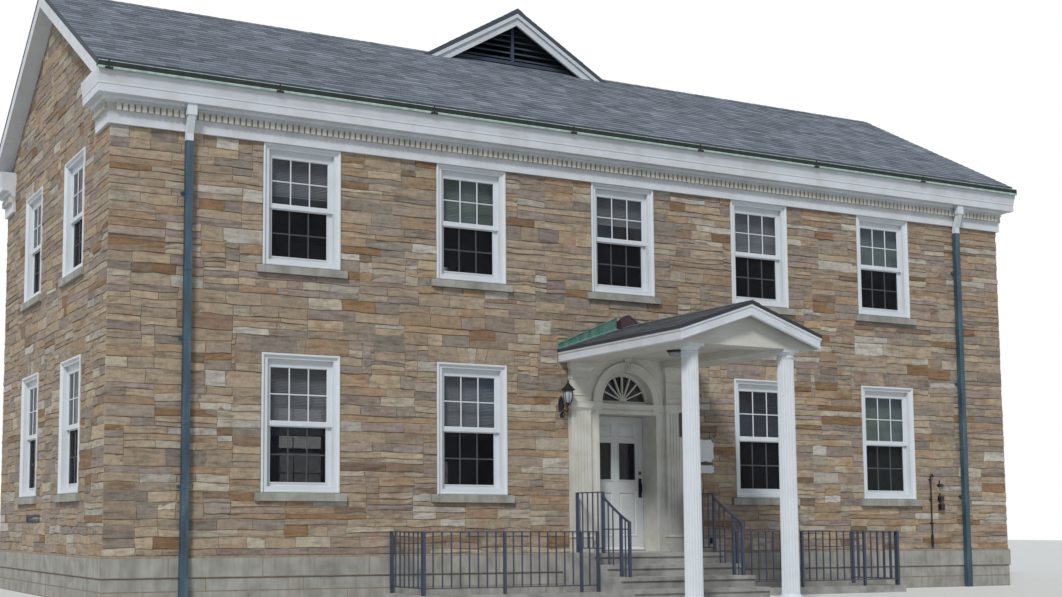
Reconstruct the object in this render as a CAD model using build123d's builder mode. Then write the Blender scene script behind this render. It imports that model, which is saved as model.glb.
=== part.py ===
from build123d import *
import os
from math import cos, hypot, radians, sin

os.makedirs("parts", exist_ok=True)

# Driving sizes, in millimetres. X runs along the front, Y goes into the building
# from the front, and Z is the height above the ground.
bay = 2743                     # window spacing along the front
bays_each_side = 2             # bays left and right of the door
corner_margin = 2781           # last bay line to the corner
wall_depth = 6776              # front face to rear face
wall_thickness = 400
riser = 165
riser_count = 4
floor_thickness = 250
upper_floor_rise = 3180        # ground floor to upper floor

# Windows
frame_width = 1186
lower_frame_rise = 861         # above the ground floor
lower_frame_height = 1939
upper_frame_rise = 4040        # above the ground floor
upper_frame_height = 1734
side_window_near = 1920        # front face to the nearer window of a side wall
side_window_far = 4608
window_reveal = 8              # face of the wall to face of the frame
frame_depth = 150
casing_width = 92
casing_head = 77
frame_foot = 83
sash_thickness = 38
sash_setback = 60              # face of the frame to face of the upper sash
stile_width = 65
top_rail = 108
meeting_rail = 61
bottom_rail = 48
glass_thickness = 6
sill_width = 1369
sill_height = 118
sill_projection = 62
sill_seat = 150                # depth of the sill under the frame

# Roof
eave_rise = 6539               # ground floor to the lip of the gutter
eave_reach = 302               # wall face to the lip of the gutter
main_slope = 0.5958
roof_thickness = 88            # measured upright
rake_overhang = 262
gable_overhang = 234           # boards of the cross gable, past the ridge and the rear wall
cross_half_span = 5480         # cross gable, measured at the height of the eave
cross_slope = 0.58
verge_gap = 1                  # mitre between boards that meet at a ridge

# Eaves
frieze_rise = 5774             # ground floor to the foot of the frieze
frieze_height = 176
frieze_thickness = 52
dentil_height = 100
dentil_width = 62
dentil_gap = 26
dentil_projection = 42
dentil_back = 70               # thickness of the band behind the dentils
soffit_height = 88             # bed mould and soffit above the dentils
corona_height = 112
corona_reach = 233             # wall face to the face of the corona
crown_reach = 262
return_length = 620            # cornice round each corner
gutter_height = 80
gutter_width = 95
gutter_wall = 4
downpipe_width = 102
downpipe_depth = 76
downpipe_inset = 1075          # corner to the middle of the downpipe
downpipe_clearance = 40
boot_height = 700
boot_margin = 4
head_width = 136               # painted box at the top of each downpipe
head_reach = 128
head_foot = 130                # foot of the frieze to the top of the pipe

# Entrance
door_width = 1070
door_height = 2131
door_setback = 300             # wall face to face of the leaf
leaf_thickness = 45
door_clearance = 6
threshold_height = 12
jamb_width = 105               # each side, inside the opening in the wall
transom_height = 175
fanlight_radius = 480
fanlight_frame = 45
head_board = 80                # above the fanlight
surround_half_width = 1060
surround_thickness = 50
pilaster_width = 350
pilaster_projection = 55
archivolt_width = 170
archivolt_projection = 26
hinge_radius = 8
hinge_height = 110
hinge_gap = 0.3

# Portico
column_x = 842
column_reach = 2736            # wall face to the axis of the columns
column_foot_diameter = 250
column_neck_diameter = 232
flute_count = 20
flute_depth = 12
column_base_height = 110
capital_height = 130           # plain neck, echinus and abacus
portico_half_width = 1222
portico_reach = 3044           # wall face to the face of the front fascia
portico_soffit_rise = 2896     # above the landing
fascia_depth = 163
portico_slope = 0.3355
portico_roof_thickness = 42    # measured upright
fascia_thickness = 32
coffer_height = 112
beam_width = 300
tympanum_thickness = 45

# Steps and railings
landing_half_width = 1207
landing_depth = 893
tread = 330
nosing = 22
tread_slab = 55
area_rail_reach = 1061         # wall face to the line of the railing
area_rail_left = 4100          # middle of the door to the left return
area_rail_right = 4553
area_rail_height = 985
curb_height = 110
curb_width = 160
baluster = 16
baluster_spacing = 140
rail_bar = 34
post_width = 38
stair_rail_x = 1018
stair_rail_height = 905

# Heights and lines worked out from the sizes above
half_length = bays_each_side * bay + corner_margin
floor_level = riser * riser_count
upper_floor_level = floor_level + upper_floor_rise
lower_frame_z = floor_level + lower_frame_rise
upper_frame_z = floor_level + upper_frame_rise
eave_z = floor_level + eave_rise
frieze_z = floor_level + frieze_rise
dentil_z = frieze_z + frieze_height
bed_z = dentil_z + dentil_height
corona_z = bed_z + soffit_height
crown_z = corona_z + corona_height
shingle_lip = 20
front_y = (portico_reach + shingle_lip - wall_depth - eave_reach) / 2
rear_y = front_y + wall_depth
ridge_y = front_y + wall_depth / 2
ridge_z = eave_z + (wall_depth / 2 + eave_reach) * main_slope
cross_ridge_z = eave_z + cross_half_span * cross_slope
verge_x = half_length + rake_overhang
verge_y = ridge_y - gable_overhang
portico_z = floor_level + portico_soffit_rise
bay_lines = [bay * k for k in range(-bays_each_side, bays_each_side + 1)]
window_bays = [x for x in bay_lines if x != 0]
side_lines = [side_window_near, side_window_far]
roof_edge_reach = eave_reach - gutter_width
cornice_top = eave_z - gutter_height


def main_roof_z(y):
    """Height of the shingles at y, on whichever slope that is."""
    return ridge_z - abs(y - ridge_y) * main_slope


def run_along_x(points, x0, x1, mode=Mode.ADD):
    with BuildSketch(Plane.YZ.offset(x0)) as profile:
        with BuildLine():
            Polyline(*points, close=True)
        make_face()
    extrude(profile.sketch, amount=x1 - x0, mode=mode)


def run_along_y(points, y0, y1, mode=Mode.ADD):
    with BuildSketch(Plane.XZ.offset(-y0)) as profile:
        with BuildLine():
            Polyline(*points, close=True)
        make_face()
    extrude(profile.sketch, amount=y0 - y1, mode=mode)


def run_up(points, z0, z1, mode=Mode.ADD):
    with BuildSketch(Plane.XY.offset(z0)) as profile:
        with BuildLine():
            Polyline(*points, close=True)
        make_face()
    extrude(profile.sketch, amount=z1 - z0, mode=mode)


def block(x0, x1, y0, y1, z0, z1, mode=Mode.ADD):
    with Locations(((x0 + x1) / 2, (y0 + y1) / 2, (z0 + z1) / 2)):
        Box(x1 - x0, y1 - y0, z1 - z0, mode=mode)


def on_wall(side, along, z):
    """A place on the outer face of a wall, with -Y pointing out of the wall."""
    if side == "front":
        return Location((along, front_y, z))
    if side == "rear":
        return Location((-along, rear_y, z), (0, 0, 180))
    if side == "left":
        return Location((-half_length, front_y + along, z), (0, 0, -90))
    return Location((half_length, front_y + along, z), (0, 0, 90))


def storeys(side, lower_lines, upper_lines):
    """Each window of a wall as its place and its frame's height."""
    lower = [(on_wall(side, line, lower_frame_z), lower_frame_height) for line in lower_lines]
    upper = [(on_wall(side, line, upper_frame_z), upper_frame_height) for line in upper_lines]
    return lower + upper


front_places = storeys("front", window_bays, bay_lines)
rear_places = storeys("rear", bay_lines, bay_lines)
left_places = storeys("left", side_lines, side_lines)
right_places = storeys("right", side_lines, side_lines)


def cut_windows(places):
    for place, height in places:
        with Locations(place):
            Box(frame_width, 3 * wall_thickness, height,
                align=(Align.CENTER, Align.CENTER, Align.MIN), mode=Mode.SUBTRACT)
            Box(sill_width, 2 * sill_seat, sill_height,
                align=(Align.CENTER, Align.CENTER, Align.MAX), mode=Mode.SUBTRACT)


def save(piece, name):
    piece.part.label = name
    export_step(piece.part, f"parts/{name}.step")


# Foundation: a ring of masonry with a weathered water table along its top
water_table_height = 290
water_table_projection = 32
weathering = 24
plinth_projection = 14


def ring(z0, z1, outset):
    with BuildSketch(Plane.XY.offset(z0)) as plan:
        with Locations((0, ridge_y)):
            Rectangle(2 * (half_length + outset), wall_depth + 2 * outset)
            Rectangle(2 * (half_length - wall_thickness), wall_depth - 2 * wall_thickness,
                      mode=Mode.SUBTRACT)
    extrude(plan.sketch, amount=z1 - z0)


with BuildPart() as foundation:
    ring(0, floor_level - water_table_height, plinth_projection)
    ring(floor_level - water_table_height, floor_level, water_table_projection)
    top_edges = foundation.edges().group_by(Axis.Z)[-1]
    outer_edges = [e for e in top_edges if abs(e.center().X) > half_length
                   or abs(e.center().Y - ridge_y) > wall_depth / 2]
    chamfer(outer_edges, weathering)
save(foundation, "foundation")

# Walls. The front wall is split beside and over the doorway
inner_front_y = front_y + wall_thickness
inner_rear_y = rear_y - wall_thickness
opening_half = door_width / 2 + jamb_width
spring_z = floor_level + door_height + transom_height
opening_z = spring_z + fanlight_radius + head_board


def roof_foot(y):
    """Height of the underside of the main roof at y."""
    return main_roof_z(y) - roof_thickness


front_profile = [(front_y, floor_level), (inner_front_y, floor_level),
                 (inner_front_y, roof_foot(inner_front_y)), (front_y, roof_foot(front_y))]
rear_profile = [(2 * ridge_y - y, z) for y, z in front_profile]

with BuildPart() as front_wall_left:
    run_along_x(front_profile, -half_length, -opening_half)
    cut_windows(front_places)
save(front_wall_left, "front_wall_left")

with BuildPart() as front_wall_right:
    run_along_x(front_profile, opening_half, half_length)
    cut_windows(front_places)
save(front_wall_right, "front_wall_right")

with BuildPart() as front_wall_over_door:
    run_along_x(front_profile, -opening_half, opening_half)
    block(-opening_half, opening_half, front_y, inner_front_y, floor_level, opening_z,
          mode=Mode.SUBTRACT)
    cut_windows(front_places)
save(front_wall_over_door, "front_wall_over_door")

# The rear wall stops at the eave, and the cross gable stands on its middle
rear_shoulder_z = roof_foot(rear_y)
gable_half = (cross_ridge_z - roof_thickness - rear_shoulder_z) / cross_slope
with BuildPart() as rear_wall:
    run_along_x(rear_profile, -half_length, half_length)
    block(-gable_half - wall_thickness, gable_half + wall_thickness, inner_rear_y, rear_y,
          rear_shoulder_z, 2 * rear_shoulder_z, mode=Mode.SUBTRACT)
    cut_windows(rear_places)
save(rear_wall, "rear_wall")

with BuildPart() as rear_gable:
    run_along_y([(-gable_half, rear_shoulder_z), (gable_half, rear_shoulder_z),
                 (0, cross_ridge_z - roof_thickness)], inner_rear_y, rear_y)
save(rear_gable, "rear_gable")

side_profile = [(inner_front_y, floor_level), (inner_rear_y, floor_level),
                (inner_rear_y, roof_foot(inner_rear_y)), (ridge_y, roof_foot(ridge_y)),
                (inner_front_y, roof_foot(inner_front_y))]
with BuildPart() as left_wall:
    run_along_x(side_profile, -half_length, -half_length + wall_thickness)
    cut_windows(left_places)
save(left_wall, "left_wall")

with BuildPart() as right_wall:
    run_along_x(side_profile, half_length - wall_thickness, half_length)
    cut_windows(right_places)
save(right_wall, "right_wall")

# Floors, carried between the walls
inner_x = half_length - wall_thickness
with BuildPart() as ground_floor:
    block(-inner_x, inner_x, inner_front_y, inner_rear_y, floor_level - floor_thickness, floor_level)
save(ground_floor, "ground_floor")

with BuildPart() as upper_floor:
    block(-inner_x, inner_x, inner_front_y, inner_rear_y,
          upper_floor_level - floor_thickness, upper_floor_level)
save(upper_floor, "upper_floor")

with BuildPart() as attic_floor:
    block(-inner_x, inner_x, inner_front_y, inner_rear_y, bed_z, bed_z + floor_thickness)
save(attic_floor, "attic_floor")

# Main roof. The slopes meet at an upright joint on the ridge, and the rear slope
# is cut where the cross gable runs into it
far = 2 * half_length
cross_outside = [(-far, cross_ridge_z - far * cross_slope), (0, cross_ridge_z),
                 (far, cross_ridge_z - far * cross_slope)]
eave_front_y = front_y - roof_edge_reach
eave_rear_y = rear_y + roof_edge_reach
roof_edge_z = main_roof_z(eave_front_y)
with BuildPart() as main_roof_front:
    run_along_x([(eave_front_y, roof_edge_z), (ridge_y, ridge_z), (ridge_y, ridge_z - roof_thickness),
                 (eave_front_y, roof_edge_z - roof_thickness)], -verge_x, verge_x)
save(main_roof_front, "main_roof_front")

with BuildPart() as main_roof_rear:
    run_along_x([(eave_rear_y, roof_edge_z), (ridge_y, ridge_z), (ridge_y, ridge_z - roof_thickness),
                 (eave_rear_y, roof_edge_z - roof_thickness)], -verge_x, verge_x)
    run_along_y(cross_outside, ridge_y, eave_rear_y + eave_reach, mode=Mode.SUBTRACT)
save(main_roof_rear, "main_roof_rear")

# Cross gable roof: two slopes, cut along the valleys by the main roof
main_below = [(eave_front_y, roof_edge_z), (ridge_y, ridge_z), (ridge_y, ridge_z - roof_thickness),
              (eave_rear_y, roof_edge_z - roof_thickness), (eave_rear_y, 0), (eave_front_y, 0)]
gable_back_y = rear_y + gable_overhang


def cross_slope_slab(side):
    eave_x = side * cross_half_span
    outline = [(0, cross_ridge_z), (eave_x, eave_z), (eave_x, eave_z - roof_thickness),
               (0, cross_ridge_z - roof_thickness)]
    run_along_y(outline, verge_y, gable_back_y)
    run_along_x(main_below, -far, far, mode=Mode.SUBTRACT)
    block(-far, far, rear_y, rear_y + eave_reach, 0, cornice_top, mode=Mode.SUBTRACT)


with BuildPart() as cross_roof_left:
    cross_slope_slab(-1)
save(cross_roof_left, "cross_roof_left")

with BuildPart() as cross_roof_right:
    cross_slope_slab(1)
save(cross_roof_right, "cross_roof_right")

# Louvred gable on the ridge: a triangular frame with sloping blades and a post
louvre_depth = 90
louvre_board = 60
blade_count = 6
blade_thickness = 14
louvre_foot_z = ridge_z
louvre_top_z = cross_ridge_z - roof_thickness
louvre_half = (louvre_top_z - louvre_foot_z) / cross_slope
board_drop = louvre_board * hypot(1, cross_slope)
louvre_front_y = ridge_y - louvre_depth / 2
louvre_clear_z = louvre_foot_z + louvre_board
louvre_inner = [(-(louvre_top_z - board_drop - louvre_clear_z) / cross_slope, louvre_clear_z),
                ((louvre_top_z - board_drop - louvre_clear_z) / cross_slope, louvre_clear_z),
                (0, louvre_top_z - board_drop)]
blade_pitch = (louvre_top_z - board_drop - louvre_clear_z) / (blade_count + 1)
with BuildPart() as gable_louvre:
    run_along_y([(-louvre_half, louvre_foot_z), (louvre_half, louvre_foot_z), (0, louvre_top_z)],
                louvre_front_y, louvre_front_y + louvre_depth)
    run_along_y(louvre_inner, louvre_front_y, louvre_front_y + louvre_depth, mode=Mode.SUBTRACT)
    for blade in range(blade_count):
        foot = louvre_clear_z + blade * blade_pitch + blade_pitch / 4
        reach = (louvre_top_z - board_drop / 2 - foot - blade_pitch / 2) / cross_slope
        run_along_x([(louvre_front_y + 6, foot), (louvre_front_y + louvre_depth - 6, foot + blade_pitch / 2),
                     (louvre_front_y + louvre_depth - 6, foot + blade_pitch / 2 + blade_thickness),
                     (louvre_front_y + 6, foot + blade_thickness)], -reach, reach)
    block(-louvre_board / 2, louvre_board / 2, louvre_front_y, louvre_front_y + louvre_depth,
          louvre_foot_z, louvre_top_z - board_drop)
    run_along_x(main_below, -far, far, mode=Mode.SUBTRACT)
save(gable_louvre, "gable_louvre")

# White boards under the front of the cross gable, with a crown along their top
gable_board_depth = 210
gable_crown_depth = 70
gable_board_thickness = 40
with BuildPart() as gable_trim:
    for drop, y0, y1 in ((gable_board_depth, verge_y + 30, verge_y + 30 + gable_board_thickness),
                         (gable_crown_depth, verge_y, verge_y + 30)):
        span = cross_half_span
        foot_z = cross_ridge_z - roof_thickness
        run_along_y([(0, foot_z), (span, foot_z - span * cross_slope),
                     (span, foot_z - span * cross_slope - drop), (0, foot_z - drop),
                     (-span, foot_z - span * cross_slope - drop),
                     (-span, foot_z - span * cross_slope)], y0, y1)
    run_along_x(main_below, -far, far, mode=Mode.SUBTRACT)
save(gable_trim, "gable_trim")

# Rake boards at the gable ends, one for each slope, and on the rear gable
rake_depth = 190


def end_rake(x0, x1, direction):
    y_low = ridge_y + direction * (wall_depth / 2 + roof_edge_reach)
    y_top = ridge_y + direction * verge_gap / 2
    run_along_x([(y_low, roof_foot(y_low)), (y_top, roof_foot(y_top)),
                 (y_top, roof_foot(y_top) - rake_depth), (y_low, roof_foot(y_low) - rake_depth)], x0, x1)


with BuildPart() as rake_boards:
    for direction in (-1, 1):
        end_rake(-verge_x, -half_length, direction)
        end_rake(half_length, verge_x, direction)
    for side in (-1, 1):
        x_top = side * verge_gap / 2
        x_low = side * (gable_half - return_length)
        top = cross_ridge_z - roof_thickness
        run_along_y([(x_top, top - abs(x_top) * cross_slope), (x_low, top - abs(x_low) * cross_slope),
                     (x_low, top - abs(x_low) * cross_slope - rake_depth),
                     (x_top, top - abs(x_top) * cross_slope - rake_depth)],
                    rear_y, gable_back_y)
    for near, past in ((front_y - eave_reach, front_y + return_length),
                       (rear_y - return_length, rear_y + eave_reach)):
        block(-far, far, near, past, 0, cornice_top, mode=Mode.SUBTRACT)
save(rake_boards, "rake_boards")

# Eaves: frieze board, dentil band and cornice, along the front and the rear and a
# short way round each corner


def band_plan(side, reach):
    """Plan of a band of one reach along a long wall and round its corners."""
    sign = -1 if side == "front" else 1
    wall_y = front_y if side == "front" else rear_y
    turn_y = wall_y - sign * return_length
    out_x = half_length + reach
    out_y = wall_y + sign * reach
    return [(-half_length, turn_y), (-half_length, wall_y), (half_length, wall_y), (half_length, turn_y),
            (out_x, turn_y), (out_x, out_y), (-out_x, out_y), (-out_x, turn_y)]


with BuildPart() as frieze_boards:
    for side in ("front", "rear"):
        run_up(band_plan(side, frieze_thickness), frieze_z, dentil_z)
save(frieze_boards, "frieze_boards")

dentil_pitch = dentil_width + dentil_gap
dentil_count = int((2 * half_length) // dentil_pitch)
return_dentils = int(return_length // dentil_pitch)
with BuildPart() as dentil_bands:
    for side in ("front", "rear"):
        run_up(band_plan(side, dentil_back), dentil_z, bed_z)
    with BuildSketch(Plane.XY.offset(dentil_z)) as teeth:
        with Locations((0, front_y - dentil_back - dentil_projection / 2)):
            with GridLocations(dentil_pitch, 0, dentil_count, 1):
                Rectangle(dentil_width, dentil_projection)
        for end in (-1, 1):
            first = front_y + (return_dentils - 1) * dentil_pitch / 2
            with Locations((end * (half_length + dentil_back + dentil_projection / 2), first)):
                with GridLocations(0, dentil_pitch, 1, return_dentils):
                    Rectangle(dentil_projection, dentil_width)
    extrude(teeth.sketch, amount=dentil_height)
save(dentil_bands, "dentil_bands")

bed_reach = dentil_back + 12
cove = 45


def sweep_round(side):
    """Sweep the cornice along one long wall and a short way round its corners."""
    sign = -1 if side == "front" else 1
    wall_y = front_y if side == "front" else rear_y
    turn_y = wall_y - sign * return_length
    with BuildLine() as path:
        Polyline((-half_length, turn_y, 0), (-half_length, wall_y, 0),
                 (half_length, wall_y, 0), (half_length, turn_y, 0))
    with BuildSketch(Plane((-half_length, turn_y, 0), x_dir=(-1, 0, 0), z_dir=(0, 1, 0))) as section:
        with BuildLine():
            Polyline((0, cornice_top), (0, bed_z), (bed_reach, bed_z), (bed_reach, corona_z - cove))
            RadiusArc((bed_reach, corona_z - cove), (bed_reach + cove, corona_z), -cove)
            Polyline((bed_reach + cove, corona_z), (corona_reach, corona_z), (corona_reach, crown_z),
                     (corona_reach + 6, crown_z), (corona_reach + 6, crown_z + 30))
            Line((corona_reach + 6, crown_z + 30), (crown_reach, cornice_top - 40))
            Polyline((crown_reach, cornice_top - 40), (crown_reach, cornice_top), (0, cornice_top))
        make_face()
    sweep(section.sketch, path=path.line, transition=Transition.RIGHT)


with BuildPart() as cornices:
    for side in ("front", "rear"):
        sweep_round(side)
save(cornices, "cornices")

# Gutters: troughs that stand on the cornice against the edge of the roof. The rear
# one is broken by the cross gable
valley_clearance = 30


def gutter(sign, x0, x1):
    wall_y = front_y if sign < 0 else rear_y
    back = wall_y + sign * roof_edge_reach
    lip = wall_y + sign * eave_reach
    inner_back = back + sign * gutter_wall
    inner_lip = lip - sign * gutter_wall
    run_along_x([(back, eave_z), (back, cornice_top), (lip, cornice_top), (lip, eave_z),
                 (inner_lip, eave_z), (inner_lip, cornice_top + gutter_wall),
                 (inner_back, cornice_top + gutter_wall), (inner_back, eave_z)], x0, x1)
    for x in (x0, x1 - gutter_wall):
        block(x, x + gutter_wall, min(back, lip), max(back, lip), cornice_top, eave_z)


with BuildPart() as gutters:
    gutter(-1, -verge_x, verge_x)
    gutter(1, -verge_x, -cross_half_span - valley_clearance)
    gutter(1, cross_half_span + valley_clearance, verge_x)
save(gutters, "gutters")

# Downpipes: each begins under the frieze and runs down clear of the wall into a boot.
# Its painted head stands in front of the dentils and steps back below them
pipe_x = half_length - downpipe_inset
pipe_top_z = frieze_z - head_foot
pipe_face = downpipe_clearance + downpipe_depth


def outward(sign, near, far_reach):
    """The two Y values, in order, of a span in front of a long wall."""
    wall_y = front_y if sign < 0 else rear_y
    return sorted((wall_y + sign * near, wall_y + sign * far_reach))


with BuildPart() as downpipes:
    for x in (-pipe_x, pipe_x):
        for sign in (-1, 1):
            x0 = x - downpipe_width / 2
            x1 = x + downpipe_width / 2
            block(x0, x1, *outward(sign, downpipe_clearance, pipe_face), 0, pipe_top_z)
            block(x0 - boot_margin, x1 + boot_margin,
                  *outward(sign, downpipe_clearance - boot_margin, pipe_face + boot_margin), 0, boot_height)
save(downpipes, "downpipes")

with BuildPart() as downpipe_heads:
    for x in (-pipe_x, pipe_x):
        for sign in (-1, 1):
            wall_y = front_y if sign < 0 else rear_y
            outline = [(head_reach, dentil_z + 10), (downpipe_clearance, frieze_z - 50),
                       (downpipe_clearance, pipe_top_z), (pipe_face, pipe_top_z), (pipe_face, frieze_z - 35),
                       (head_reach + downpipe_depth, dentil_z + 25), (head_reach + downpipe_depth, corona_z),
                       (head_reach, corona_z)]
            run_along_x([(wall_y + sign * reach, z) for reach, z in outline],
                        x - downpipe_width / 2, x + downpipe_width / 2)
            block(x - head_width / 2, x + head_width / 2,
                  *outward(sign, head_reach, head_reach + downpipe_depth + 8), dentil_z + 30, corona_z)
save(downpipe_heads, "downpipe_heads")

# Windows: a casing with two sashes, the upper one outside the lower
glass_half = frame_width / 2 - casing_width - stile_width
meeting_share = 0.512


def sash_levels(height):
    """Heights of the glass and of the meeting rail above the foot of a frame."""
    low_glass = frame_foot + bottom_rail
    top_glass = height - casing_head - top_rail
    middle = low_glass + (top_glass - low_glass) * meeting_share
    return low_glass, middle - meeting_rail / 2, middle + meeting_rail / 2, top_glass


def window(height):
    half = frame_width / 2
    clear = half - casing_width
    low_glass, meeting_foot, meeting_top, top_glass = sash_levels(height)
    back = window_reveal + frame_depth
    upper_y = window_reveal + sash_setback
    lower_y = upper_y + sash_thickness
    block(-half, half, window_reveal, back, 0, height)
    block(-clear, clear, window_reveal, back, frame_foot, height - casing_head, mode=Mode.SUBTRACT)
    block(-clear, clear, upper_y, lower_y, meeting_foot, height - casing_head)
    block(-glass_half, glass_half, upper_y, lower_y, meeting_top, top_glass, mode=Mode.SUBTRACT)
    block(-clear, clear, lower_y, lower_y + sash_thickness, frame_foot, meeting_top)
    block(-glass_half, glass_half, lower_y, lower_y + sash_thickness, low_glass, meeting_foot,
          mode=Mode.SUBTRACT)


def panes(height):
    low_glass, meeting_foot, meeting_top, top_glass = sash_levels(height)
    upper_y = window_reveal + sash_setback + (sash_thickness - glass_thickness) / 2
    lower_y = upper_y + sash_thickness
    block(-glass_half, glass_half, upper_y, upper_y + glass_thickness, meeting_top, top_glass)
    block(-glass_half, glass_half, lower_y, lower_y + glass_thickness, low_glass, meeting_foot)


with BuildPart() as lower_window:
    window(lower_frame_height)
with BuildPart() as upper_window:
    window(upper_frame_height)
with BuildPart() as lower_panes:
    panes(lower_frame_height)
with BuildPart() as upper_panes:
    panes(upper_frame_height)
with BuildPart() as sill:
    run_along_x([(-sill_projection, -sill_height), (sill_seat, -sill_height), (sill_seat, 0),
                 (window_reveal, 0), (-sill_projection, -14)], -sill_width / 2, sill_width / 2)


def place_all(places, lower, upper):
    for place, height in places:
        with Locations(place):
            add(lower.part if height == lower_frame_height else upper.part)


with BuildPart() as front_windows:
    place_all(front_places, lower_window, upper_window)
save(front_windows, "front_windows")

with BuildPart() as side_windows:
    place_all(left_places + right_places, lower_window, upper_window)
save(side_windows, "side_windows")

with BuildPart() as rear_windows:
    place_all(rear_places, lower_window, upper_window)
save(rear_windows, "rear_windows")

with BuildPart() as front_glass:
    place_all(front_places, lower_panes, upper_panes)
save(front_glass, "front_glass")

with BuildPart() as side_glass:
    place_all(left_places + right_places, lower_panes, upper_panes)
save(side_glass, "side_glass")

with BuildPart() as rear_glass:
    place_all(rear_places, lower_panes, upper_panes)
save(rear_glass, "rear_glass")

with BuildPart() as window_sills:
    place_all(front_places + left_places + right_places + rear_places, sill, sill)
save(window_sills, "window_sills")

# Door frame: deep jambs and a head with a round-headed fanlight opening
door_half = door_width / 2
door_top_z = floor_level + door_height


def round_head(radius, z, y0, y1, mode):
    """A half disc on the line z, run from y0 to y1."""
    with BuildSketch(Plane.XZ.offset(-y0)) as profile:
        with BuildLine():
            Line((-radius, z), (radius, z))
            ThreePointArc((radius, z), (0, z + radius), (-radius, z))
        make_face()
    extrude(profile.sketch, amount=y0 - y1, mode=mode)


with BuildPart() as door_frame:
    block(-opening_half, opening_half, front_y, inner_front_y, floor_level, opening_z)
    block(-door_half, door_half, front_y, inner_front_y, floor_level, door_top_z, mode=Mode.SUBTRACT)
    round_head(fanlight_radius, spring_z, front_y, inner_front_y, Mode.SUBTRACT)
    block(-door_half, door_half, front_y, inner_front_y, floor_level, floor_level + threshold_height)
save(door_frame, "door_frame")

# Fanlight: a half-round sash with a hub and radiating bars
fan_bar = 20
fan_bar_count = 7
fan_hub_radius = 62
fan_depth = 40
fan_setback = 70
fan_y = front_y + fan_setback
fan_foot_z = spring_z + fanlight_frame
fan_glass_radius = fanlight_radius - fanlight_frame

with BuildPart() as fanlight:
    round_head(fanlight_radius, spring_z, fan_y, fan_y + fan_depth, Mode.ADD)
    with BuildSketch(Plane.XZ.offset(-fan_y)) as light:
        with BuildLine():
            chord = (fan_glass_radius ** 2 - fanlight_frame ** 2) ** 0.5
            Line((-chord, fan_foot_z), (chord, fan_foot_z))
            ThreePointArc((chord, fan_foot_z), (0, spring_z + fan_glass_radius), (-chord, fan_foot_z))
        make_face()
        with Locations((0, fan_foot_z)):
            Circle(fan_hub_radius, mode=Mode.SUBTRACT)
            for k in range(1, fan_bar_count + 1):
                angle = 180 * k / (fan_bar_count + 1)
                with Locations((fan_glass_radius / 2 * cos(radians(angle)),
                                fan_glass_radius / 2 * sin(radians(angle)))):
                    Rectangle(fan_glass_radius, fan_bar, rotation=angle, mode=Mode.SUBTRACT)
    extrude(light.sketch, amount=-fan_depth, mode=Mode.SUBTRACT)
save(fanlight, "fanlight")

# The pane is cut in straight lengths behind the rim of the sash
pane_cuts = 12
with BuildPart() as fanlight_glass:
    turns = [radians(180 * k / pane_cuts) for k in range(pane_cuts + 1)]
    run_along_y([(fanlight_radius * cos(turn), spring_z + fanlight_radius * sin(turn)) for turn in turns],
                fan_y + fan_depth, fan_y + fan_depth + glass_thickness)
save(fanlight_glass, "fanlight_glass")

# Door surround: a panel round the door and the arch, and two pilasters
coffer_half = column_x - beam_width / 2
coffer_z = portico_z + coffer_height
surround_y = front_y - surround_thickness
with BuildPart() as door_surround:
    run_along_y([(-surround_half_width, floor_level), (surround_half_width, floor_level),
                 (surround_half_width, portico_z), (coffer_half, portico_z), (coffer_half, coffer_z),
                 (-coffer_half, coffer_z), (-coffer_half, portico_z), (-surround_half_width, portico_z)],
                surround_y, front_y)
    block(-door_half, door_half, surround_y, front_y, floor_level, door_top_z, mode=Mode.SUBTRACT)
    round_head(fanlight_radius, spring_z, surround_y, front_y, Mode.SUBTRACT)
    archivolt_y = surround_y - archivolt_projection
    round_head(fanlight_radius + archivolt_width, spring_z, archivolt_y, surround_y, Mode.ADD)
    round_head(fanlight_radius, spring_z, archivolt_y, surround_y, Mode.SUBTRACT)
    keystone_foot = spring_z + fanlight_radius
    run_along_y([(-42, keystone_foot), (42, keystone_foot), (62, coffer_z), (-62, coffer_z)],
                archivolt_y - 18, surround_y)
save(door_surround, "door_surround")

pilaster_inner = surround_half_width - pilaster_width
pilaster_y = surround_y - pilaster_projection
plinth_height = 230
cap_height = 120
impost_z = spring_z - 90
impost_height = 70
groove_count = 5
groove_pitch = 56
groove_width = 34
groove_depth = 12
groove_margin = 45
with BuildPart() as pilasters:
    for side in (-1, 1):
        x0, x1 = sorted((side * pilaster_inner, side * surround_half_width))
        block(x0, x1, pilaster_y, surround_y, floor_level, portico_z)
        block(x0 - 12, x1 + 12, pilaster_y - 12, surround_y, floor_level, floor_level + plinth_height)
        block(x0 - 18, x1 + 18, pilaster_y - 18, surround_y, portico_z - cap_height / 2, portico_z)
        block(x0 - 8, x1 + 8, pilaster_y - 8, surround_y, portico_z - cap_height, portico_z - cap_height / 2)
        block(x0 - 10, x1 + 10, pilaster_y - 14, surround_y, impost_z, impost_z + impost_height)
        for k in range(groove_count):
            groove_x = (x0 + x1) / 2 + (k - (groove_count - 1) / 2) * groove_pitch
            block(groove_x - groove_width / 2, groove_x + groove_width / 2,
                  pilaster_y, pilaster_y + groove_depth,
                  floor_level + plinth_height + groove_margin, impost_z - groove_margin, mode=Mode.SUBTRACT)
save(pilasters, "pilasters")

# Entrance door: recessed panels above and below two glass lights
leaf_y = front_y + door_setback
leaf_foot = floor_level + threshold_height + door_clearance
leaf_top = door_top_z - door_clearance
leaf_half = door_half - door_clearance
light_inner = 66
light_outer = 392
light_levels = (floor_level + 1119, floor_level + 1714)
panel_sink = 9
upper_panel_levels = (floor_level + 1795, floor_level + 2010)
lower_panel_levels = (floor_level + 250, floor_level + 927)

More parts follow.
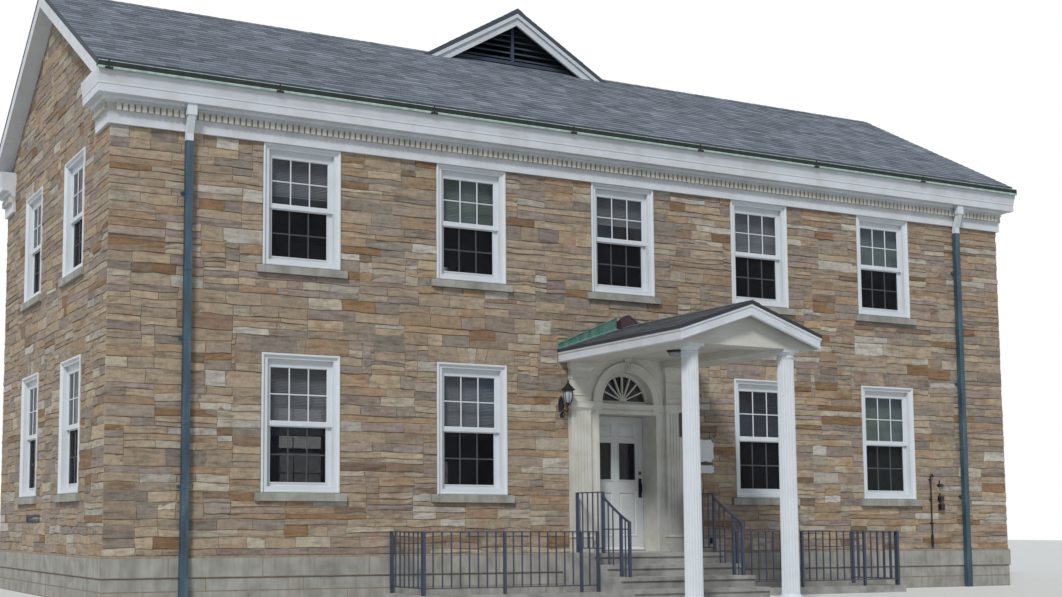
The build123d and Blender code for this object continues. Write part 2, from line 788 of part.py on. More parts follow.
with BuildPart() as entrance_door:
    block(-leaf_half, leaf_half, leaf_y, leaf_y + leaf_thickness, leaf_foot, leaf_top)
    for side in (-1, 1):
        x0, x1 = sorted((side * light_inner, side * light_outer))
        block(x0, x1, leaf_y, leaf_y + leaf_thickness, *light_levels, mode=Mode.SUBTRACT)
        for levels in (upper_panel_levels, lower_panel_levels):
            block(x0, x1, leaf_y, leaf_y + panel_sink, *levels, mode=Mode.SUBTRACT)
            block(x0, x1, leaf_y + leaf_thickness - panel_sink, leaf_y + leaf_thickness, *levels,
                  mode=Mode.SUBTRACT)
save(entrance_door, "entrance_door")

with BuildPart() as door_glass:
    for side in (-1, 1):
        x0, x1 = sorted((side * light_inner, side * light_outer))
        middle = leaf_y + leaf_thickness / 2
        block(x0, x1, middle - glass_thickness / 2, middle + glass_thickness / 2, *light_levels)
save(door_glass, "door_glass")

# Pull plate with a thumb latch on the outside of the leaf
plate_x = 470
plate_width = 62
plate_height = 300
plate_z = floor_level + 1000
with BuildPart() as door_handle:
    block(plate_x - plate_width / 2, plate_x + plate_width / 2, leaf_y - 4, leaf_y,
          plate_z - plate_height / 2, plate_z + plate_height / 2)
    with BuildSketch(Plane.YZ.offset(plate_x - 9)) as pull:
        with BuildLine():
            Polyline((leaf_y - 4, plate_z - 90), (leaf_y - 52, plate_z - 70), (leaf_y - 52, plate_z + 70),
                     (leaf_y - 4, plate_z + 90), (leaf_y - 4, plate_z + 68), (leaf_y - 36, plate_z + 54),
                     (leaf_y - 36, plate_z - 54), (leaf_y - 4, plate_z - 68), close=True)
        make_face()
    extrude(pull.sketch, amount=18)
save(door_handle, "door_handle")

# Hinges: knuckles on plates let onto the left jamb, behind the leaf
hinge_x = -door_half + hinge_radius
hinge_y = leaf_y + leaf_thickness + hinge_gap + hinge_radius
hinge_levels = [floor_level + rise for rise in (250, 1080, 1900)]
with BuildPart() as door_hinges:
    for level in hinge_levels:
        with Locations((hinge_x, hinge_y, level)):
            Cylinder(hinge_radius, hinge_height)
        block(-door_half, -door_half + 3, hinge_y, hinge_y + 32,
              level - hinge_height / 2, level + hinge_height / 2)
save(door_hinges, "door_hinges")

# Portico columns: fluted tapering shafts on round bases with square plinths
shaft_foot_z = column_base_height
shaft_top_z = portico_z - capital_height
column_y = front_y - column_reach
foot_r = column_foot_diameter / 2
neck_r = column_neck_diameter / 2
base_plinth = 340
plinth_top_z = 45
abacus = 284
abacus_height = 42


def shaft_plan(x, radius, z):
    """Outline of the shaft at z, with a flute at each division of the circle."""
    outline = []
    for k in range(flute_count):
        for turn, depth in ((-0.4, 0), (-0.2, flute_depth), (0.2, flute_depth), (0.4, 0)):
            angle = radians(360 * (k + turn) / flute_count)
            outline.append(((radius - depth) * cos(angle), (radius - depth) * sin(angle)))
    with BuildSketch(Plane((x, column_y, z))) as plan:
        with BuildLine():
            Polyline(*outline, close=True)
        make_face()
    return plan.sketch


def turned(x, outline):
    """Revolve an outline of radius and height about a column's axis."""
    with BuildSketch(Plane((x, column_y, 0), x_dir=(1, 0, 0), z_dir=(0, -1, 0))) as half_section:
        with BuildLine():
            Polyline(*outline, close=True)
        make_face()
    revolve(half_section.sketch, axis=Axis((x, column_y, 0), (0, 0, 1)))


def column(x):
    torus_r = foot_r + 34
    turned(x, [(0, plinth_top_z), (torus_r, plinth_top_z), (torus_r, plinth_top_z + 34),
               (foot_r, shaft_foot_z), (0, shaft_foot_z)])
    loft([shaft_plan(x, foot_r, shaft_foot_z), shaft_plan(x, neck_r, shaft_top_z)], ruled=True)
    echinus_z = portico_z - abacus_height
    turned(x, [(0, shaft_top_z), (neck_r, shaft_top_z), (neck_r, echinus_z - 24), (neck_r + 18, echinus_z),
               (0, echinus_z)])
    half_plinth = base_plinth / 2
    half_abacus = abacus / 2
    block(x - half_plinth, x + half_plinth, column_y - half_plinth, column_y + half_plinth, 0, plinth_top_z)
    block(x - half_abacus, x + half_abacus, column_y - half_abacus, column_y + half_abacus,
          echinus_z, portico_z)


with BuildPart() as column_left:
    column(-column_x)
save(column_left, "column_left")

with BuildPart() as column_right:
    column(column_x)
save(column_right, "column_right")

# Portico ceiling: beams and soffit in one plane, with a sunk panel between them
beam_face_y = column_y - beam_width / 2
inner_half = portico_half_width - fascia_thickness
tympanum_back_y = beam_face_y + tympanum_thickness
with BuildPart() as portico_ceiling:
    block(-inner_half, inner_half, tympanum_back_y, front_y, portico_z, portico_z + fascia_depth)
    block(-coffer_half, coffer_half, column_y + beam_width / 2, front_y, portico_z, coffer_z,
          mode=Mode.SUBTRACT)
save(portico_ceiling, "portico_ceiling")

portico_eave_z = portico_z + fascia_depth
portico_ridge_z = portico_eave_z + portico_half_width * portico_slope


def portico_line(x):
    """Height of the underside of the portico's roof at x."""
    return portico_ridge_z - abs(x) * portico_slope


with BuildPart() as portico_tympanum:
    run_along_y([(-inner_half, portico_z), (inner_half, portico_z), (inner_half, portico_line(inner_half)),
                 (0, portico_ridge_z), (-inner_half, portico_line(inner_half))],
                beam_face_y, tympanum_back_y)
save(portico_tympanum, "portico_tympanum")

portico_front_y = front_y - portico_reach
with BuildPart() as portico_fascia:
    run_along_y([(-portico_half_width, portico_eave_z), (0, portico_ridge_z),
                 (portico_half_width, portico_eave_z), (portico_half_width, portico_z),
                 (0, portico_ridge_z - fascia_depth), (-portico_half_width, portico_z)],
                portico_front_y, portico_front_y + fascia_thickness)
    for x0, x1 in ((-portico_half_width, -inner_half), (inner_half, portico_half_width)):
        block(x0, x1, portico_front_y, front_y, portico_z, portico_eave_z)
save(portico_fascia, "portico_fascia")

roof_half = portico_half_width + shingle_lip
lip_drop = roof_half * portico_slope
with BuildPart() as portico_roof:
    run_along_y([(-roof_half, portico_ridge_z - lip_drop), (0, portico_ridge_z),
                 (roof_half, portico_ridge_z - lip_drop),
                 (roof_half, portico_ridge_z - lip_drop + portico_roof_thickness),
                 (0, portico_ridge_z + portico_roof_thickness),
                 (-roof_half, portico_ridge_z - lip_drop + portico_roof_thickness)],
                portico_front_y - shingle_lip, front_y)
save(portico_roof, "portico_roof")

# Copper flashing along the wall, higher towards the ridge, and the box on the ridge
flashing_thickness = 18
flashing_low = 95
flashing_high = 200
box_half = 150
box_wall = 130
box_rise = 100
box_length = 130
with BuildPart() as copper_flashing:
    for side in (-1, 1):
        low_z = portico_line(roof_half) + portico_roof_thickness
        high_z = portico_line(box_half) + portico_roof_thickness
        run_along_y([(side * roof_half, low_z), (side * box_half, high_z),
                     (side * box_half, high_z + flashing_high), (side * roof_half, low_z + flashing_low)],
                    front_y - flashing_thickness, front_y)
save(copper_flashing, "copper_flashing")

with BuildPart() as ridge_box:
    top = portico_ridge_z + portico_roof_thickness
    side_z = portico_line(box_half) + portico_roof_thickness
    run_along_y([(-box_half, side_z), (0, top), (box_half, side_z), (box_half, side_z + box_wall),
                 (0, side_z + box_wall + box_rise), (-box_half, side_z + box_wall)],
                front_y - box_length, front_y)
save(ridge_box, "ridge_box")

# Landing and steps, each a stone with a nosing
water_table_y = front_y - water_table_projection


def step(level, front_edge, back_edge):
    top = level * riser
    block(-landing_half_width, landing_half_width, front_edge, back_edge, top - tread_slab, top)
    block(-landing_half_width, landing_half_width, front_edge + nosing, back_edge, 0, top - tread_slab)


landing_edge_y = front_y - landing_depth
with BuildPart() as entrance_landing:
    step(riser_count, landing_edge_y, water_table_y)
save(entrance_landing, "entrance_landing")

for number in range(1, riser_count):
    with BuildPart() as entrance_step:
        step(number, landing_edge_y - tread * (riser_count - number),
             landing_edge_y - tread * (riser_count - number - 1) + nosing)
    save(entrance_step, f"entrance_step_{number}")

# Stair railings: level over the landing, then down beside the steps in a shallow sag
# to a post on the second step
rail_start_y = pilaster_y - 60
rail_corner_y = landing_edge_y + 45
rail_middle_y = landing_edge_y - tread - 72
rail_end_y = landing_edge_y - 2 * tread + 48
rail_top_z = floor_level + stair_rail_height
sweep_top_z = rail_top_z - 58
sweep_end_z = floor_level + 462
sweep_sag = 24
sweep_parts = 6
middle_rail_z = floor_level + 345
bar_rise = 62                  # landing to the lower bar
rail_drop = 24                 # depth of the sloping handrail
level_balusters = 4


def sweep_z(y):
    """Top of the sloping handrail at y."""
    share = (rail_corner_y - y) / (rail_corner_y - rail_end_y)
    return sweep_top_z + (sweep_end_z - sweep_top_z) * share - 4 * sweep_sag * share * (1 - share)


def upright(x, y, width, foot, top):
    block(x - width / 2, x + width / 2, y - width / 2, y + width / 2, foot, top)


with BuildPart() as stair_railings:
    for x in (-stair_rail_x, stair_rail_x):
        half = rail_bar / 2
        thin = baluster / 2
        block(x - half, x + half, rail_corner_y, rail_start_y + half, rail_top_z - baluster, rail_top_z)
        block(x - thin, x + thin, rail_corner_y, rail_start_y,
              floor_level + bar_rise, floor_level + bar_rise + baluster)
        block(x - thin, x + thin, rail_end_y, rail_corner_y, middle_rail_z, middle_rail_z + baluster)
        ys = [rail_corner_y + (rail_end_y - rail_corner_y) * k / sweep_parts for k in range(sweep_parts + 1)]
        run_along_x([(y, sweep_z(y)) for y in ys] + [(y, sweep_z(y) - rail_drop) for y in reversed(ys)],
                    x - half, x + half)
        upright(x, rail_start_y, post_width, floor_level, rail_top_z - baluster / 2)
        upright(x, rail_corner_y, post_width, floor_level, rail_top_z)
        upright(x, rail_middle_y, post_width, 2 * riser, sweep_z(rail_middle_y) - rail_drop / 2)
        upright(x, rail_end_y, post_width, 2 * riser, sweep_end_z)
        for k in range(1, level_balusters + 1):
            y = rail_start_y + (rail_corner_y - rail_start_y) * k / (level_balusters + 1)
            upright(x, y, baluster, floor_level + bar_rise, rail_top_z - baluster / 2)
        for y in (landing_edge_y - 85, landing_edge_y - 200):
            upright(x, y, baluster, 3 * riser, sweep_z(y) - rail_drop / 2)
        y = (rail_middle_y + rail_end_y) / 2
        upright(x, y, baluster, 2 * riser, sweep_z(y) - rail_drop / 2)
save(stair_railings, "stair_railings")

# Area railings on low curbs, either side of the steps
area_y = front_y - area_rail_reach
plinth_y = front_y - plinth_projection


def fence_x(x0, x1, y, foot, top):
    """A run of railing along X between two end posts."""
    half = post_width / 2
    block(x0, x1, y - rail_bar / 2, y + rail_bar / 2, top - baluster, top)
    block(x0, x1, y - baluster / 2, y + baluster / 2, foot + 90, foot + 90 + baluster)
    count = int((x1 - x0) // baluster_spacing)
    for k in range(count + 1):
        x = x0 + half + (x1 - x0 - post_width) * k / count
        size = half if k % 9 == 0 or k == count else baluster / 2
        base = foot if size == half else foot + 90
        block(x - size, x + size, y - size, y + size, base, top - baluster)


def fence_y(y0, y1, x, foot, top):
    """A run of railing along Y between two end posts."""
    half = post_width / 2
    block(x - rail_bar / 2, x + rail_bar / 2, y0, y1, top - baluster, top)
    block(x - baluster / 2, x + baluster / 2, y0, y1, foot + 90, foot + 90 + baluster)
    count = int((y1 - y0) // baluster_spacing)
    for k in range(count + 1):
        y = y0 + half + (y1 - y0 - post_width) * k / count
        size = half if k in (0, count) else baluster / 2
        base = foot if size == half else foot + 90
        block(x - size, x + size, y - size, y + size, base, top - baluster)


with BuildPart() as area_railings:
    fence_x(-area_rail_left - rail_bar / 2, -landing_half_width - 40, area_y,
            curb_height, area_rail_height)
    fence_x(landing_half_width + 40, area_rail_right + rail_bar / 2, area_y,
            curb_height, area_rail_height)
save(area_railings, "area_railings")

with BuildPart() as area_railing_returns:
    for x in (-area_rail_left, area_rail_right):
        fence_y(area_y + post_width / 2, water_table_y, x, curb_height, area_rail_height)
save(area_railing_returns, "area_railing_returns")

with BuildPart() as area_curbs:
    half = curb_width / 2
    block(-area_rail_left - half, -landing_half_width, area_y - half, area_y + half, 0, curb_height)
    block(landing_half_width, area_rail_right + half, area_y - half, area_y + half, 0, curb_height)
save(area_curbs, "area_curbs")

with BuildPart() as area_curb_returns:
    for x in (-area_rail_left, area_rail_right):
        block(x - half, x + half, area_y + half, plinth_y, 0, curb_height)
save(area_curb_returns, "area_curb_returns")

# Wall lanterns either side of the surround: an eight-sided jar under a hood, on a sloping arm
lantern_x = 1250
lantern_reach = 190
lantern_z = floor_level + 2180
lantern_sides = 8
jar_radius = 82
jar_foot = -25
jar_top = 215
jar_bevel = 42
hood_radius = 112
hood_height = 90
hood_slope = 84
finial = 16
finial_top = 395


def prism(radius, z0, z1):
    with BuildSketch(Plane.XY.offset(z0)) as plan:
        RegularPolygon(radius, lantern_sides, rotation=180 / lantern_sides)
    extrude(plan.sketch, amount=z1 - z0)


with BuildPart() as lantern:
    prism(hood_radius, jar_top, jar_top + hood_height)
    chamfer(lantern.edges().group_by(Axis.Z)[-1], hood_slope)
    prism(jar_radius, jar_foot, jar_top)
    chamfer(lantern.edges().group_by(Axis.Z)[0], jar_bevel)
    block(-finial / 2, finial / 2, -finial / 2, finial / 2, jar_top + hood_height / 2, finial_top)

with BuildPart() as wall_lanterns:
    for x in (-lantern_x, lantern_x):
        y = front_y - lantern_reach
        with Locations((x, y, lantern_z)):
            add(lantern.part)
        run_along_x([(front_y - 12, lantern_z - 150), (y, lantern_z - 60), (y, lantern_z - 28),
                     (front_y - 12, lantern_z - 118)], x - 10, x + 10)
        block(x - 10, x + 10, y - 10, y + 10, lantern_z - 60, lantern_z)
        block(x - 45, x + 45, front_y - 12, front_y, lantern_z - 230, lantern_z - 20)
save(wall_lanterns, "wall_lanterns")
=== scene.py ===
import math
import bmesh
import bpy
import numpy as np
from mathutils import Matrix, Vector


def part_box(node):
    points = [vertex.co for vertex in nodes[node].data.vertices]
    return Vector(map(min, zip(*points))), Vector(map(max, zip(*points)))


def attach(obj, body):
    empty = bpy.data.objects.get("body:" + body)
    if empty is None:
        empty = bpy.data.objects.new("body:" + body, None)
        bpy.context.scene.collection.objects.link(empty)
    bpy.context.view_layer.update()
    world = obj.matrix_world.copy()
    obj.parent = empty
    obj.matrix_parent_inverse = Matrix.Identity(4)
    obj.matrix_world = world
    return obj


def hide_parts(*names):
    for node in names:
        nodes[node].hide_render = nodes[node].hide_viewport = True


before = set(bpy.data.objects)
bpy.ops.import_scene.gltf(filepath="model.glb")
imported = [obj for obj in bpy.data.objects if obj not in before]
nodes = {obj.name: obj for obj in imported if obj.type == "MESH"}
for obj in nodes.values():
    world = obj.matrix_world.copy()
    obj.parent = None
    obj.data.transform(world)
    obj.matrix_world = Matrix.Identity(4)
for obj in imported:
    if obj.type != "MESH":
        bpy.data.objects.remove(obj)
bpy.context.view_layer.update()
draws = np.random.default_rng(1938)  # every random draw comes from here

# Places read from the frame, in metres
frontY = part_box("front_wall_left")[0].y
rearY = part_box("rear_wall")[1].y
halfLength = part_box("right_wall")[1].x
ridgeY = (frontY + rearY) / 2
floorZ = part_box("ground_floor")[1].z
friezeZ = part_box("frieze_boards")[0].z
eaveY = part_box("main_roof_front")[0].y
vergeX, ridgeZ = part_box("main_roof_front")[1].x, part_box("main_roof_front")[1].z
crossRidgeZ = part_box("cross_roof_left")[1].z
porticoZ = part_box("portico_ceiling")[0].z
print("frame loaded")

# Sizes of the openings and the roofs, which the stones, the joinery and the shingles share
house = {"bay": 2.743, "frameWidth": 1.186, "casing": 0.092, "head": 0.077, "foot": 0.083,
         "lowerFoot": 0.861, "lowerHeight": 1.939, "upperFoot": 4.04, "upperHeight": 1.734,
         "sideNear": 1.92, "sideFar": 4.608, "sillWidth": 1.369, "sillHeight": 0.118,
         "reveal": 0.008, "setback": 0.06, "sash": 0.038, "stile": 0.065, "topRail": 0.108,
         "meetingRail": 0.061, "bottomRail": 0.048, "meetingShare": 0.512,
         "mainSlope": 0.5958, "crossSlope": 0.58, "roofThickness": 0.088,
         "surroundHalf": 1.06, "porticoSlope": 0.3355}


# An sRGB hex colour as linear red, green, blue and alpha
def linear(code):
    parts = np.array([int(code[k:k + 2], 16) for k in (1, 3, 5)]) / 255
    parts = np.where(parts <= 0.04045, parts / 12.92, ((parts + 0.055) / 1.055) ** 2.4)
    return (*parts.tolist(), 1.0)


# Sets or links a node's inputs: each is a number, a hex colour or the socket that feeds it. Grain is
# the size of a pattern in millimetres, and its scale is 1000 over that
def feed(tree, node, inputs):
    for key, value in inputs.items():
        if key == "Grain":
            key, value = "Scale", 1000 / value
        if isinstance(value, bpy.types.NodeSocket):
            tree.links.new(value, node.inputs[key])
        else:
            node.inputs[key].default_value = linear(value) if isinstance(value, str) else value


# Adds one node and gives back its outputs: stops are the places and hex colours along a ramp
def addNode(tree, kind, inputs, stops=(), **settings):
    node = tree.nodes.new("ShaderNode" + kind)
    for key, value in settings.items():
        setattr(node, key, value)
    feed(tree, node, inputs)
    for k, (place, code) in enumerate(stops):
        stop = node.color_ramp.elements[k] if k < 2 else node.color_ramp.elements.new(1.0)
        stop.position, stop.color = place, linear(code)
    return node.outputs


def newMaterial(name):
    material = bpy.data.materials.new(name)
    material.use_nodes = True
    tree = material.node_tree
    return material, tree, tree.nodes["Principled BSDF"], addNode(tree, "TexCoord", {})["Object"]


def evenStops(tones):
    return [(k / (len(tones) - 1), code) for k, code in enumerate(tones)]


# A surface in layers. Patterns are (kind, grain, detail, roughness, stretch), and the first carries the
# tones. The stain is (pattern, low, high, least share, most share, colour), mixed in where its pattern
# is strong, and gloss is how much it roughens. The relief is (pattern, distance, strength)
def makeLayered(name, tones, patterns, stain=None, relief=None, gloss=0.0, **inputs):
    material, tree, shader, place = newMaterial(name)
    fields = []
    for kind, grain, detail, roughness, stretch in patterns:
        flow = addNode(tree, "Mapping", {"Vector": place, "Scale": stretch})[0]
        fields.append(addNode(tree, kind, {"Vector": flow, "Grain": grain, "Detail": detail,
                                           "Roughness": roughness})[0])
    colour = addNode(tree, "ValToRGB", {"Fac": fields[0]}, tones)[0] if len(tones) > 1 else tones[0]
    if stain:
        pattern, low, high, least, most, code = stain
        share = addNode(tree, "MapRange", {"Value": fields[pattern], "From Min": low, "From Max": high,
                                           "To Min": least, "To Max": most})[0]
        colour = addNode(tree, "Mix", {0: share, 6: colour, 7: code}, data_type="RGBA")[2]
    if gloss:
        inputs["Roughness"] = addNode(tree, "Math", {0: share, 1: gloss, 2: inputs["Roughness"]},
                                      operation="MULTIPLY_ADD")[0]
    if relief:
        pattern, distance, strength = relief
        inputs["Normal"] = addNode(tree, "Bump", {"Height": fields[pattern], "Distance": distance,
                                                  "Strength": strength})[0]
    feed(tree, shader, {"Base Color": colour, **inputs})
    return material


# How patterns are stretched: not at all, along level boards, up posts, and in tall streaks
even, level, upright, tall = (1.0, 1.0, 1.0), (0.04, 0.04, 1.0), (1.0, 1.0, 0.04), (1.0, 1.0, 0.2)


# Ledge sandstone, split by hand: each stone has its own tone and shade, with faint bedding along
# it, clouds of rust and a gritty face
def makeSandstone():
    tones = ["#877e73", "#998b79", "#a3937d", "#9a8a77", "#99836b", "#948679", "#8f817a", "#a89f8e",
             "#b0aba1", "#82664a", "#7d6a5a"]
    material, tree, shader, place = newMaterial("split_sandstone")
    tone, shade = (addNode(tree, "Attribute", {}, attribute_name=key)["Fac"] for key in ("tone", "shade"))
    colour = addNode(tree, "ValToRGB", {"Fac": tone}, evenStops(tones))[0]
    flat = addNode(tree, "Mapping", {"Vector": place, "Scale": (0.14, 0.14, 1.0)})[0]
    bed = addNode(tree, "TexNoise", {"Vector": flat, "Grain": 38, "Detail": 5.0})[0]
    layers = addNode(tree, "ValToRGB", {"Fac": bed},
                     [(0.28, "#b9b5b0"), (0.52, "#ffffff"), (0.75, "#fff3e2")])[0]
    colour = addNode(tree, "Mix", {0: 0.8, 6: colour, 7: layers}, data_type="RGBA", blend_type="MULTIPLY")[2]
    cloud = addNode(tree, "TexNoise", {"Vector": place, "Grain": 312, "Detail": 5.0, "Roughness": 0.62})[0]
    rust = addNode(tree, "MapRange", {"Value": cloud, "From Min": 0.56, "From Max": 0.74, "To Max": 0.62})[0]
    colour = addNode(tree, "Mix", {0: rust, 6: colour, 7: "#836044"}, data_type="RGBA")[2]
    patch = addNode(tree, "TexNoise", {"Vector": place, "Grain": 71, "Detail": 8.0, "Roughness": 0.74})[0]
    patch = addNode(tree, "MapRange", {"Value": patch, "From Min": 0.3, "From Max": 0.7, "To Min": 0.74,
                                       "To Max": 1.24})[0]
    value = addNode(tree, "Math", {0: patch, 1: shade}, operation="MULTIPLY")[0]
    colour = addNode(tree, "HueSaturation", {"Value": value, "Color": colour})[0]
    grit = addNode(tree, "TexNoise", {"Vector": place, "Grain": 11, "Detail": 6.0, "Roughness": 0.7})[0]
    height = addNode(tree, "Math", {0: bed, 1: 1.2, 2: grit}, operation="MULTIPLY_ADD")[0]
    normal = addNode(tree, "Bump", {"Height": height, "Distance": 0.006, "Strength": 0.8})[0]
    feed(tree, shader, {"Base Color": colour, "Roughness": 0.92, "Normal": normal})
    return material


# Lime mortar with sand in it: a grey buff close to the stones, so that the joints stay quiet
def makeMortar():
    return makeLayered("sanded_mortar", [(0.3, "#75695b"), (0.7, "#8f8271")],
                       [("TexNoise", 56, 6.0, 0.5, even), ("TexNoise", 4, 2.0, 0.5, even)],
                       relief=(1, 0.002, 1.0), Roughness=0.95)


# Sawn limestone: pale grey with rain streaks down the face and a fine shelly grain
def makeLimestone():
    return makeLayered("sawn_limestone", [(0.3, "#7f7d76"), (0.5, "#95938c"), (0.7, "#a5a29b")],
                       [("TexNoise", 286, 6.0, 0.5, even), ("TexNoise", 62, 5.0, 0.5, (1.0, 1.0, 0.1)),
                        ("TexNoise", 8, 6.0, 0.5, even)],
                       (1, 0.46, 0.72, 0.0, 0.5, "#76736b"), (2, 0.002, 1.0), Roughness=0.85)


# Cast concrete: trowelled grey, darker in patches where feet and rain wear it, with pinholes
def makeConcrete():
    return makeLayered("cast_concrete", [(0.3, "#74736f"), (0.52, "#92918d"), (0.72, "#a5a49f")],
                       [("TexNoise", 312, 8.0, 0.6, even), ("TexVoronoi", 36, 0.0, 0.5, even),
                        ("TexNoise", 6, 6.0, 0.5, even)],
                       (1, 0.04, 0.1, 0.55, 0.0, "#4f4d49"), (2, 0.002, 1.0), Roughness=0.88)


# Oil paint on planed timber: satin, faint brush lines along the board, grime in soft patches that
# is rougher than the paint
def makePaint(name, clean, grimy, share, along, roughness):
    return makeLayered(name, [clean], [("TexNoise", 417, 8.0, 0.65, even), ("TexNoise", 6, 2.0, 0.5, along)],
                       (0, 0.42, 0.78, 0.0, share, grimy), (1, 0.0003, 0.3), 0.5, Roughness=roughness)


# Asphalt shingles faced with slate grit: each tab has its own tone, washed lighter in broad
# patches. The grit is drawn 5 mm wide, coarser than its 2 mm, so that it shows from the street
def makeShingle(name, tones):
    material, tree, shader, place = newMaterial(name)
    tone = addNode(tree, "Attribute", {}, attribute_name="tone")["Fac"]
    colour = addNode(tree, "ValToRGB", {"Fac": tone}, evenStops(tones))[0]
    grit = addNode(tree, "TexNoise", {"Vector": place, "Grain": 5, "Detail": 4.0, "Roughness": 0.8})[0]
    speck = addNode(tree, "MapRange", {"Value": grit, "From Min": 0.3, "From Max": 0.7, "To Min": 0.7,
                                       "To Max": 1.3})[0]
    broad = addNode(tree, "TexNoise", {"Vector": place, "Grain": 1429, "Detail": 4.0})[0]
    wash = addNode(tree, "MapRange", {"Value": broad, "From Min": 0.3, "From Max": 0.7, "To Min": 0.88,
                                      "To Max": 1.12})[0]
    value = addNode(tree, "Math", {0: speck, 1: wash}, operation="MULTIPLY")[0]
    colour = addNode(tree, "HueSaturation", {"Value": value, "Color": colour})[0]
    normal = addNode(tree, "Bump", {"Height": grit, "Distance": 0.003, "Strength": 0.8})[0]
    feed(tree, shader, {"Base Color": colour, "Roughness": 0.93, "Normal": normal})
    return material


# Copper gone to patina: a crust in tall streaks, rough where it is thick, with brown metal where
# rain wears it through
def makePatina(name, tones, worn, roughness):
    return makeLayered(name, list(zip((0.3, 0.5, 0.72), tones)),
                       [("TexNoise", 111, 8.0, 0.65, tall), ("TexNoise", 29, 5.0, 0.5, tall)],
                       (1, 0.58, 0.74, 0.0, worn, "#3d332c"), (0, 0.001, 0.6), Roughness=roughness,
                       Metallic=0.2)


# Enamel on iron: glossy, with a slight orange peel and blooms of rust at a few spots
def makeEnamel(name, paint, roughness, rust):
    return makeLayered(name, [paint], [("TexNoise", 50, 6.0, 0.7, even), ("TexNoise", 9, 2.0, 0.5, even)],
                       (0, 0.62, 0.76, 0.0, rust, "#6b4026"), (1, 0.0006, 0.5), 0.8, Roughness=roughness,
                       Metallic=0.1)


# Float glass before a dark room: a smooth pane of a dark colour, bluish in soft clouds, with a bump that
# bends what it mirrors. On the window glass the dark colour is painted shade of the room behind, and the pale
# bluish clouds are painted reflection of the sky; on the lamp glass they are its frosting
def makeGlass(name, dark, pale, alpha):
    return makeLayered(name, [dark], [("TexNoise", 909, 2.0, 0.5, even)], (0, 0.35, 0.68, 0.0, 0.8, pale),
                       (0, 0.004, 0.25), Roughness=0.03, Alpha=alpha)


# Painted aluminium slats of a blind: matt, a little duller in broad clouds
def makeSlat(name, clean, dull):
    return makeLayered(name, [(0.35, dull), (0.65, clean)], [("TexNoise", 500, 3.0, 0.5, even)],
                       Roughness=0.6)


# Fibre insect screen: a dark weave in a thin frame. Its 1.5 mm mesh is too fine to draw from the
# street, so the cloth is an even veil with a faint woven sheen
def makeScreen():
    material, tree, shader, place = newMaterial("fibre_insect_screen")
    weave = addNode(tree, "TexChecker", {"Vector": place, "Color1": "#08090b", "Color2": "#17191c",
                                         "Grain": 6})[0]
    feed(tree, shader, {"Base Color": weave, "Roughness": 0.7, "Alpha": 0.38, "Specular IOR Level": 0.1})
    return material


# Varnished floor boards 80 mm wide: a tone for each board, and long grain along it
def makeBoards():
    material, tree, shader, place = newMaterial("varnished_boards")
    board = addNode(tree, "TexBrick", {"Vector": place, "Color1": "#8b6a48", "Color2": "#6f5236",
                                       "Mortar": "#33261a", "Scale": 1.0, "Mortar Size": 0.002,
                                       "Brick Width": 1.8, "Row Height": 0.08})[0]
    long = addNode(tree, "Mapping", {"Vector": place, "Scale": (0.05, 1.0, 1.0)})[0]
    fibres = addNode(tree, "TexNoise", {"Vector": long, "Grain": 20, "Detail": 5.0})[0]
    fibres = addNode(tree, "ValToRGB", {"Fac": fibres}, [(0.3, "#b0a79c"), (0.6, "#ffffff")])[0]
    colour = addNode(tree, "Mix", {0: 1.0, 6: board, 7: fibres}, data_type="RGBA", blend_type="MULTIPLY")[2]
    feed(tree, shader, {"Base Color": colour, "Roughness": 0.4})
    return material


